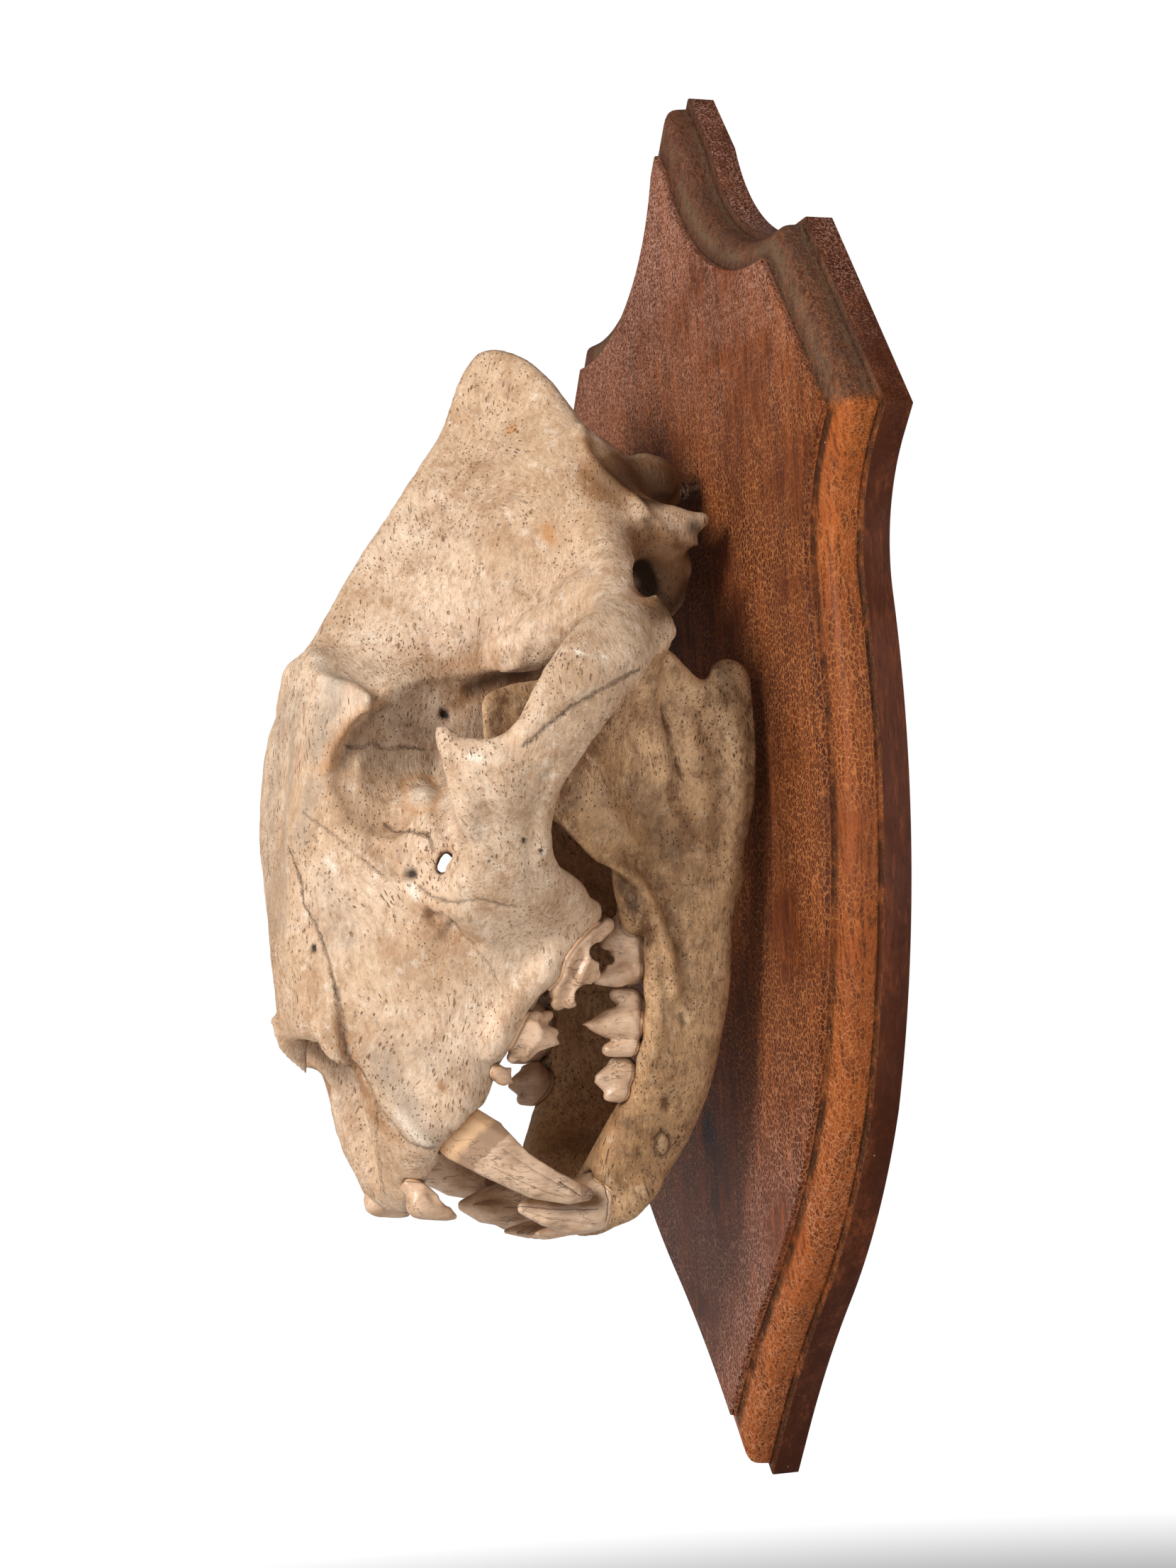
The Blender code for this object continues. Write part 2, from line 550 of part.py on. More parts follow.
def blade_tooth(bm, spec, side, grow=0.0):
    """Build a cheek tooth: a root peg under a crown with cusps along its edge."""
    _, base, pointing, along, length, width, depth, cusps = spec
    mirror = Vector((side, 1, 1))
    base = Vector(base) * mirror
    up = (Vector(pointing) * mirror).normalized()
    long = Vector(along) * mirror
    long = (long - up * long.dot(up)).normalized()
    wide = up.cross(long)
    places, heights = zip(*cusps)
    rings = []
    sides = 12 if length > 10 else 8
    levels = [(-depth - grow, 0.62, 0.5, 0), (0.0, 0.94, 0.86, 0), (0.0, 1.0, 1.0, 0.32),
              (grow, 0.97, 0.2, 1.0)]
    for lift, long_share, wide_share, height_share in levels:
        ring = []
        for a in np.linspace(0, 2 * pi, sides, endpoint=False):
            place = cos(a)
            height = float(np.interp(place, places, heights)) * height_share + lift
            reach = place * (length / 2 * long_share + grow)
            spread = sin(a) * (width / 2 * wide_share + grow)
            ring.append(base + long * reach + wide * spread + up * height)
        rings.append(ring)
    loft_blade(bm, rings)


def loft_blade(bm, rings):
    """Skin rings whose last one is closed by a ridge of narrow faces."""
    start = len(bm.faces)
    loft(bm, rings)
    bm.faces.ensure_lookup_table()
    cap = bm.faces[-1]
    corners = list(cap.verts)
    bm.faces.remove(cap)
    half = len(corners) // 2
    for i in range(half):
        quad = [corners[i], corners[i + 1], corners[-i - 1], corners[-i]]
        unique = list(dict.fromkeys(quad))
        bm.faces.new(unique)
    bm.faces.ensure_lookup_table()
    bmesh.ops.recalc_face_normals(bm, faces=bm.faces[start:])


def fang(bm, spec, side, grow=0.0):
    """Build a curved tooth from root to tip; half widths are across and fore-and-aft."""
    name, points, widths = spec
    sides = next(n for word, n in FANG_SIDES.items() if word in name)
    mirror = Vector((side, 1, 1))
    centres = [Vector(p) * mirror for p in points]
    rings = []
    for i, centre in enumerate(centres):
        along = (centres[min(i + 1, len(centres) - 1)] - centres[max(i - 1, 0)]).normalized()
        fore = Vector((0, 0, -1))
        fore = (fore - along * fore.dot(along)).normalized()
        across = along.cross(fore)
        shift = along * grow * (-1 if i == 0 else 1 if i == len(centres) - 1 else 0)
        wide, deep = widths[i]
        rings.append([centre + shift + across * cos(a) * (wide + grow) + fore * sin(a) * (deep + grow)
                      for a in np.linspace(0, 2 * pi, sides, endpoint=False)])
    loft(bm, rings)


def teeth(jaw_word, side, look):
    """Build the teeth of one side of one jaw; return a cutter for their sockets."""
    sockets = bmesh.new()
    side_word = "left" if side > 0 else "right"
    for build, specs in ((blade_tooth, BLADE_TEETH), (fang, FANGS)):
        for spec in specs:
            if spec[0].startswith(jaw_word):
                bm = bmesh.new()
                build(bm, spec, side)
                solid(f"{spec[0]}_{side_word}", bm, look)
                build(sockets, spec, side, GAP)
    return cutter(f"{jaw_word}_sockets_{side_word}", sockets)


def build_cranium(bone, enamel):
    """Build the cranium and its teeth."""
    cranium = solid("cranium", cranium_forms(), bone)
    fuse(cranium, CRANIUM_VOXEL, CRANIUM_FILLING)
    holes = cutter("cranium_hollows", cranium_hollows())
    remesh(holes, JAW_VOXEL)
    cut(cranium, holes)
    remesh(cranium, FINE_VOXEL)
    soften(cranium)
    thin_out(cranium, *CRANIUM_FACES)
    for side in (1, -1):
        cut(cranium, teeth("upper", side, enamel))
    return cranium


def build_jaw(name, side, bone, enamel):
    """Build one half of the lower jaw and its teeth."""
    jaw = solid(name, jaw_forms(side), bone)
    fuse(jaw, FINE_VOXEL, JAW_FILLING)
    chew = bmesh.new()
    mass(chew, *CHEWING_HOLLOW, side)
    cut(jaw, cutter(f"chewing_hollow_{name}", chew))
    remesh(jaw, JAW_VOXEL)
    soften(jaw)
    thin_out(jaw, *JAW_FACES)
    cut(jaw, teeth("lower", side, enamel))
    cut(jaw, block(f"beyond_{name}", (-side * (BLOCK / 2 - GAP / 2), -BLOCK / 2, 0)))
    return jaw


def block(name, centre):
    """Return a large cube that only cuts others."""
    bm = bmesh.new()
    bmesh.ops.create_cube(bm, size=BLOCK * MM, matrix=Matrix.Translation(Vector(centre) * MM))
    return cutter(name, bm)


def main():
    """Build the whole object."""
    for old in list(bpy.data.objects):
        bpy.data.objects.remove(old)
    bone = material("bone", (0.62, 0.50, 0.36), 0.6)
    enamel = material("tooth", (0.66, 0.55, 0.44), 0.35)
    wood = material("wood", (0.23, 0.06, 0.025), 0.4)
    steel = material("wire", (0.20, 0.17, 0.14), 0.5)
    drilling = build_tie(steel)
    cut(build_shield(wood), drilling)
    cut(build_cranium(bone, enamel), drilling)
    board = block("behind_panel_face", (0, BLOCK / 2 - SHIELD_DEPTH - GAP, 0))
    for side, name in ((1, "mandible_left"), (-1, "mandible_right")):
        cut(build_jaw(name, side, bone, enamel), board)


main()
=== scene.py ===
"""Looks of a lion skull on a carved wooden shield: fine forms, finishes, light and camera.

The frame is the object's own, in metres: the shield's back lies on Y = 0, the skull looks
along -Y, its nose points down and its left side is at +X. Sizes in the lists are millimetres.
Lines and spots on the bone are placed by the photograph's pixels, carried along the camera's
rays onto the bone's skin, or to a stated distance X from the skull's middle.
"""

import logging
import math
from dataclasses import dataclass, field
from enum import Enum
from functools import partial
from typing import Any, Callable, Sequence

import bpy
import numpy as np
from mathutils import Matrix, Vector
from mathutils.bvhtree import BVHTree
from mathutils.kdtree import KDTree

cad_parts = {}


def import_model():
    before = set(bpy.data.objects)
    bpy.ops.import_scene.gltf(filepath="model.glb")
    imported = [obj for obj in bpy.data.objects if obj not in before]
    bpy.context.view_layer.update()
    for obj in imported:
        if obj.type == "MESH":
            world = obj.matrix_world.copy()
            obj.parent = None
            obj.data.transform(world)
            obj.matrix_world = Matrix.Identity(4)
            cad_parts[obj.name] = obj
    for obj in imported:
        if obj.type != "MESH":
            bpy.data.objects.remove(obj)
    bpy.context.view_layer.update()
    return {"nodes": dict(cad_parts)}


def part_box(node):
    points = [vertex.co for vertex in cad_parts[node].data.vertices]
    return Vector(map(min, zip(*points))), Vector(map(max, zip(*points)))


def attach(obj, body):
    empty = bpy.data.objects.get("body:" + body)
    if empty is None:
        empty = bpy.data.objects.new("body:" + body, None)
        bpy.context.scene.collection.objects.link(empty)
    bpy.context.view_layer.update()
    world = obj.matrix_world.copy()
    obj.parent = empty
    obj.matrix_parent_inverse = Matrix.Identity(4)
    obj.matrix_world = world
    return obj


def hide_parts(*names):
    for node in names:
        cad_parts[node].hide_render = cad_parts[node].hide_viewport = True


Piece = bpy.types.Object
Material = bpy.types.Material
Point = tuple[float, float]
Colour = tuple[float, float, float]
Knot = tuple[float, float, float, float]

MM = 0.001
SIDES = ("left", "right")
LOG = logging.getLogger("skull")
MIRROR = Vector((-1.0, 1.0, 1.0))
MERGE = 1e-6
# Smoothing steps for a cutting tool, and for a piece after it is joined or cut
TOOL_SMOOTHING, PIECE_SMOOTHING = 2, 3
FULL_TURN = 2 * math.pi
# How far round an ink line its place is kept, and what stands for no line at all
INK_REACH_MM = 6.0
NO_LINE = 99.0
# How well two normals agree, at least, on one side of a thin bone
SAME_SIDE = 0.10
RAYS, QUICK_RAYS = 9, 4
LOWEST_RAY = 0.85
RAY_START = 0.0008
RAY_REACH = 0.06
FAR_HIT = 0.6


@dataclass(frozen=True)
class PhotoCamera:
    """The camera that took the photograph, in the object's frame."""

    image: tuple[int, int] = (1659, 2212)
    focal_px: float = 4638.66
    azimuth: float = math.radians(68.5)
    pitch: float = math.radians(5.14)
    roll: float = math.radians(3.29)
    place: tuple[float, float, float] = (1.2305, -0.5589, -0.1198)
    sensor_mm: float = 36.0

    def axes(self) -> tuple[Vector, Vector, Vector]:
        """Work out where the picture's right, its top and the view point.

        Returns:
            The unit vectors right, up and view.
        """
        level = Vector((math.cos(self.azimuth), math.sin(self.azimuth), 0.0))
        view = Vector((-math.sin(self.azimuth) * math.cos(self.pitch),
                       math.cos(self.azimuth) * math.cos(self.pitch), math.sin(self.pitch)))
        upright = level.cross(view)
        right = level * math.cos(self.roll) - upright * math.sin(self.roll)
        up = upright * math.cos(self.roll) + level * math.sin(self.roll)
        return right, up, view

    def ray(self, pixel: Point) -> Vector:
        """Return the direction in which a pixel of the photograph looks."""
        right, up, view = self.axes()
        across = pixel[0] - self.image[0] / 2
        down = pixel[1] - self.image[1] / 2
        return (view * self.focal_px + right * across - up * down).normalized()

    def at_side(self, pixel: Point, side_mm: float) -> Vector:
        """Return the point that a pixel shows at a distance X from the skull's middle."""
        ray = self.ray(pixel)
        start = Vector(self.place)
        return start + ray * ((side_mm * MM - start.x) / ray.x)

    def build(self) -> Piece:
        """Set up the camera.

        Returns:
            The camera object, made the scene's camera.
        """
        right, up, view = self.axes()
        lens = bpy.data.cameras.new("photo_camera")
        lens.sensor_fit = "VERTICAL"
        lens.sensor_height = self.sensor_mm
        lens.lens = self.sensor_mm * self.focal_px / self.image[1]
        camera = bpy.data.objects.new("photo_camera", lens)
        turn = Matrix((right, up, -view)).transposed().to_4x4()
        camera.matrix_world = Matrix.Translation(Vector(self.place)) @ turn
        bpy.context.scene.collection.objects.link(camera)
        bpy.context.scene.camera = camera
        return camera


CAMERA = PhotoCamera()


class Signal:
    """One output of a shader node; arithmetic on it adds Math nodes."""

    def __init__(self, graph: "Graph", socket: bpy.types.NodeSocket) -> None:
        """Remember the graph and the socket."""
        self.graph = graph
        self.socket = socket

    def _maths(self, operation: str, first: Any, second: Any) -> "Signal":
        """Return the signal of a Math node on two inputs."""
        return self.graph.node("Math", {"operation": operation}, {0: first, 1: second})

    def __add__(self, other: Any) -> "Signal":
        """Add."""
        return self._maths("ADD", self, other)

    __radd__ = __add__

    def __sub__(self, other: Any) -> "Signal":
        """Take the other away."""
        return self._maths("SUBTRACT", self, other)

    def __rsub__(self, other: Any) -> "Signal":
        """Take this away from the other."""
        return self._maths("SUBTRACT", other, self)

    def __mul__(self, other: Any) -> "Signal":
        """Multiply."""
        return self._maths("MULTIPLY", self, other)

    __rmul__ = __mul__

    def __abs__(self) -> "Signal":
        """Drop the sign."""
        return self._maths("ABSOLUTE", self, 0.0)

    def most(self, other: Any) -> "Signal":
        """Return the larger of the two."""
        return self._maths("MAXIMUM", self, other)

    def rise(self, low: float, high: float, start: float = 0.0, end: float = 1.0) -> "Signal":
        """Step smoothly from start to end as this goes from low to high."""
        return self.graph.node("MapRange", {"interpolation_type": "SMOOTHSTEP"},
                               {"Value": self, "From Min": low, "From Max": high,
                                "To Min": start, "To Max": end})

    def drop(self, low: float, high: float, end: float = 1.0) -> "Signal":
        """Step smoothly from end down to nothing as this goes from low to high."""
        return self.rise(low, high, end, 0.0)


class Graph:
    """A material under construction."""

    def __init__(self, name: str) -> None:
        """Start a material with its shader and the piece's own coordinates."""
        self.material = bpy.data.materials.new(name)
        self.material.use_nodes = True
        self.tree = self.material.node_tree
        self.shader = self.tree.nodes["Principled BSDF"]
        self.place = self.node("TexCoord", output="Object")

    def node(self, kind: str, settings: dict[str, Any] | None = None,
             inputs: dict[Any, Any] | None = None, output: Any = 0) -> Signal:
        """Add a node.

        Args:
            kind: the node's type, without ShaderNode before it.
            settings: properties, or ramp stops under "stops", set before the inputs.
            inputs: values or signals by socket name or number.
            output: name or number of the output to read.

        Returns:
            The signal of that output.
        """
        made = self.tree.nodes.new(f"ShaderNode{kind}")
        for key, value in (settings or {}).items():
            if key == "stops":
                self._fill_ramp(made.color_ramp, value)
            else:
                setattr(made, key, value)
        for key, value in (inputs or {}).items():
            self.feed(made.inputs[key], value)
        return Signal(self, made.outputs[output])

    @staticmethod
    def _fill_ramp(ramp: bpy.types.ColorRamp, stops: Sequence[tuple[float, Colour]]) -> None:
        """Give a colour ramp its stops."""
        while len(ramp.elements) < len(stops):
            ramp.elements.new(1.0)
        for element, (position, colour) in zip(ramp.elements, stops):
            element.position = position
            element.color = (*colour, 1.0)

    def feed(self, socket: bpy.types.NodeSocket, value: Any) -> None:
        """Link a signal to a socket or set its value."""
        if isinstance(value, Signal):
            self.tree.links.new(value.socket, socket)
        elif isinstance(value, tuple) and len(value) == 3 and socket.type == "RGBA":
            socket.default_value = (*value, 1.0)
        else:
            socket.default_value = value

    def noise(self, scale: float, detail: float = 2.0, roughness: float = 0.5,
              space: Signal | None = None) -> Signal:
        """Return soft noise, with scale in lumps per metre."""
        return self.node("TexNoise", {},
                         {"Vector": space or self.place, "Scale": scale, "Detail": detail,
                          "Roughness": roughness})

    def cells(self, scale: float, feature: str = "F1", space: Signal | None = None,
              output: str = "Distance") -> Signal:
        """Return a cell pattern, with scale in cells per metre."""
        return self.node("TexVoronoi", {"feature": feature},
                         {"Vector": space or self.place, "Scale": scale}, output)

    def stretched(self, scale: Sequence[float], space: Signal | None = None) -> Signal:
        """Return coordinates scaled along each axis; a small scale draws a pattern out."""
        return self.node("VectorMath", {"operation": "MULTIPLY"},
                         {0: space or self.place, 1: tuple(scale)})

    def warped(self, space: Signal, scale: float, amount: float) -> Signal:
        """Shift coordinates about by noise."""
        drift = self.node("TexNoise", {}, {"Vector": space, "Scale": scale}, "Color")
        centred = self.node("VectorMath", {"operation": "SUBTRACT"},
                            {0: drift, 1: (0.5, 0.5, 0.5)})
        scaled = self.node("VectorMath", {"operation": "SCALE"},
                           {0: centred, "Scale": amount})
        return self.node("VectorMath", {"operation": "ADD"}, {0: space, 1: scaled})

    def axis(self, letter: str) -> Signal:
        """Return one coordinate of the piece's own space."""
        return self.node("SeparateXYZ", {}, {0: self.place}, letter)

    def painted(self, name: str) -> Signal:
        """Return a value stored on the mesh."""
        return self.node("Attribute", {"attribute_name": name}, {}, "Fac")

    def ramp(self, value: Signal, stops: Sequence[tuple[float, Colour]]) -> Signal:
        """Colour a value by stops."""
        return self.node("ValToRGB", {"stops": stops}, {0: value})

    def layers(self, colour: Any, *coats: tuple[Any, Any]) -> Signal:
        """Lay colours over a first one.

        Args:
            colour: the lowest colour.
            coats: how much of each, and its colour.

        Returns:
            The colour that shows.
        """
        for amount, over in coats:
            colour = self.node("Mix", {"data_type": "RGBA"},
                               {0: amount, 6: colour, 7: over}, 2)
        return colour

    def bump(self, height: Signal, distance: float, strength: float = 1.0) -> Signal:
        """Turn a height between 0 and 1 into a normal; distance is the height's metres."""
        return self.node("Bump", {},
                         {"Height": height, "Distance": distance, "Strength": strength})

    def finish(self, **sockets: Any) -> Material:
        """Feed the shader's sockets, named with underscores for spaces.

        Returns:
            The finished material.
        """
        for name, value in sockets.items():
            self.feed(self.shader.inputs[name.replace("_", " ")], value)
        return self.material


@dataclass(frozen=True)
class BoneFinish:
    """Old dry bone: warm beige, speckled, with fibres, pits and seams; painted shade, with dirt,
    darkens its hollows and the places the dark strokes cover.

    Grain is the scale of the fibres along each axis; small is long.
    """

    name: str = "cranium_bone"
    grain: Sequence[float] = (1.0, 1.0, 0.35)
    pale: Colour = (0.76, 0.55, 0.38)
    body: Colour = (0.61, 0.395, 0.235)
    brown_and_shade: Colour = (0.35, 0.175, 0.075)
    speck: Colour = (0.23, 0.10, 0.042)
    grey: Colour = (0.34, 0.255, 0.185)
    rust: Colour = (0.55, 0.27, 0.11)
    chalk: Colour = (0.92, 0.79, 0.64)
    shade_and_pore_dark: Colour = (0.036, 0.016, 0.006)
    crack: Colour = (0.070, 0.036, 0.018)
    blush: Colour = (0.58, 0.32, 0.18)
    shade_and_grime: Colour = (0.12, 0.055, 0.020)

    def make(self) -> Material:
        """Build the material.

        Returns:
            The material.
        """
        g = Graph(self.name)
        along = g.stretched(self.grain, g.warped(g.place, 13, 0.05))
        broad = g.noise(16, 3)
        blotch = g.noise(52, 6, 0.72)
        mottle = g.noise(230, 7, 0.80, g.warped(g.stretched((1.0, 1.0, 0.7)), 60, 0.008))
        fibre = g.noise(640, 3, 0.6, g.warped(along, 60, 0.006))
        fine = g.noise(1700, 2, 0.65)
        cells = g.warped(g.stretched((1.0, 1.0, 0.75), along), 140, 0.004)
        clusters = g.noise(34, 4, 0.65)
        pits = g.cells(520).drop(0.10, 0.21) * g.noise(24, 3, 0.6).rise(0.42, 0.58) * 0.9
        flake = g.noise(130, 6, 0.78).rise(0.54, 0.66)
        for scale, low, size in ((400, 0.46, 0.21), (760, 0.42, 0.28)):
            chance = g.cells(scale, "F1", cells, "Color").rise(low, low + 0.08)
            dash = g.cells(scale, "F1", cells).drop(size * 0.45, size)
            pits = pits.most(dash * chance * clusters.rise(0.42, 0.60))
        hair = abs(g.noise(230, 6, 0.75, g.warped(along, 40, 0.01)) - 0.5).drop(0.0, 0.022)
        hair = hair * g.noise(26, 4, 0.6).rise(0.46, 0.62)
        near, ink = g.painted("line_near"), g.painted("line_ink")
        wander = (g.noise(330, 5, 0.75) - 0.5) * 4.0
        line = abs(g.painted("line_side") + wander)
        seam = line.drop(0.04, 0.24) * near.drop(2.2, 3.2) * ink
        seam = seam * g.noise(150, 3, 0.6).rise(0.34, 0.56, 0.25, 1.0)
        seam = seam.most(line.drop(0.2, 1.1, 0.35) * near.drop(1.6, 3.0) * ink)
        colour = g.layers(
            self.body, (broad.rise(0.32, 0.66), self.pale),
            (blotch.rise(0.45, 0.66) * 0.50, self.brown_and_shade),
            (g.noise(38, 5, 0.7).rise(0.50, 0.68) * 0.38, self.blush),
            (mottle.rise(0.48, 0.64) * 0.62, self.brown_and_shade),
            (fibre.rise(0.50, 0.66) * 0.42, self.grey),
            (fibre.drop(0.28, 0.46, 0.28), self.chalk),
            (flake * 0.42, self.chalk),
            (fine.rise(0.52, 0.70) * 0.40, self.brown_and_shade),
            (hair * 0.65, self.brown_and_shade),
            (g.painted("grey") * mottle.rise(0.20, 0.60), self.grey),
            # browned strokes: stains in places, and painted shade in troughs, hollows and under
            # overhangs
            (g.painted("brown_and_shade") * mottle.rise(0.25, 0.65), self.brown_and_shade),
            (g.painted("rust") * mottle.rise(0.25, 0.58), self.rust),
            (g.painted("chalk") * fine.rise(0.35, 0.58), self.chalk),
            (pits * 0.80, self.speck),
            # painted shade, with dirt, where little is open round the skin
            (g.painted("openness").drop(0.05, 0.68, 0.85), self.shade_and_grime),
            (seam * 0.92, self.crack),
            # painted shade from the dark strokes
            (g.painted("painted_shade"), self.shade_and_pore_dark))
        height = mottle * 0.45 + fibre * 0.45 + fine * 0.2 - pits * 1.1 - seam * 1.6
        rough = 0.44 + mottle * 0.24 + pits * 0.2
        return g.finish(Base_Color=colour, Roughness=rough, Specular_IOR_Level=0.40,
                        Normal=g.bump(height, 0.0009, 0.9))


@dataclass(frozen=True)
class JawFinish(BoneFinish):
    """The lower jaw's bone, browner than the cranium's, and darker also as painted shade for the
    shadow the cheek arch casts on it.
    """

    name: str = "jaw_bone"
    grain: Sequence[float] = (1.0, 1.0, 0.3)
    pale: Colour = (0.68, 0.42, 0.22)
    body: Colour = (0.49, 0.265, 0.11)
    brown_and_shade: Colour = (0.17, 0.075, 0.026)
    speck: Colour = (0.07, 0.030, 0.012)
    blush: Colour = (0.44, 0.22, 0.10)
    grey: Colour = (0.22, 0.145, 0.085)
    chalk: Colour = (0.78, 0.58, 0.38)


@dataclass(frozen=True)
class ToothFinish:
    """Old enamel with long cracks, and an orange-tan root that turns umber; shade is painted in
    its hollows and where one tooth shades another.
    """

    grain: Sequence[float] = (1.0, 0.3, 1.0)
    enamel: Colour = (0.55, 0.335, 0.20)
    cream: Colour = (0.74, 0.50, 0.33)
    stain_and_shade: Colour = (0.22, 0.11, 0.05)
    root: Colour = (0.82, 0.50, 0.27)
    neck: Colour = (0.42, 0.255, 0.155)
    edge: Colour = (0.52, 0.23, 0.07)
    crack: Colour = (0.09, 0.045, 0.025)

    def make(self) -> Material:
        """Build the material.

        Returns:
            The material.
        """
        g = Graph("tooth")
        along = g.stretched(self.grain)
        broad = g.noise(75, 4, 0.6)
        streak = g.noise(560, 4, 0.65, along)
        thin = g.stretched((1.0, 0.35, 1.0), along)
        crack = abs(g.noise(210, 3, 0.6, thin) - 0.5).drop(0.0, 0.010)
        crack = crack * g.noise(70, 2).rise(0.46, 0.60)
        root = g.painted("root") + (g.noise(300, 4, 0.7) - 0.5) * 0.22
        neck = root.rise(0.10, 0.14)
        line = abs(g.painted("line_side") + (g.noise(300, 3) - 0.5) * 0.8).drop(0.05, 0.35)
        line = line * g.painted("line_near").drop(1.8, 3.0) * g.painted("line_ink")
        colour = g.layers(
            self.enamel, (broad.rise(0.36, 0.62), self.cream),
            (streak.rise(0.48, 0.72) * 0.45, self.stain_and_shade),
            (neck, self.neck),
            (root.rise(0.45, 0.66), self.root),
            (root.rise(0.80, 1.0) * 0.8, self.edge),
            (crack * 0.45, self.crack),
            # painted shadow from the browned strokes, with stains
            (g.painted("brown_and_shade") * broad.rise(0.25, 0.60), self.stain_and_shade),
            (line, self.crack),
            # painted shade where the skin is closed in by its neighbours
            (g.painted("openness").drop(0.05, 0.55, 0.75), self.stain_and_shade))
        height = streak * 0.5 - crack * 1.2 - neck * 0.5
        return g.finish(Base_Color=colour, Roughness=0.30 + root.rise(0.1, 0.3) * 0.25,
                        Specular_IOR_Level=0.5, Normal=g.bump(height, 0.0005, 0.8))


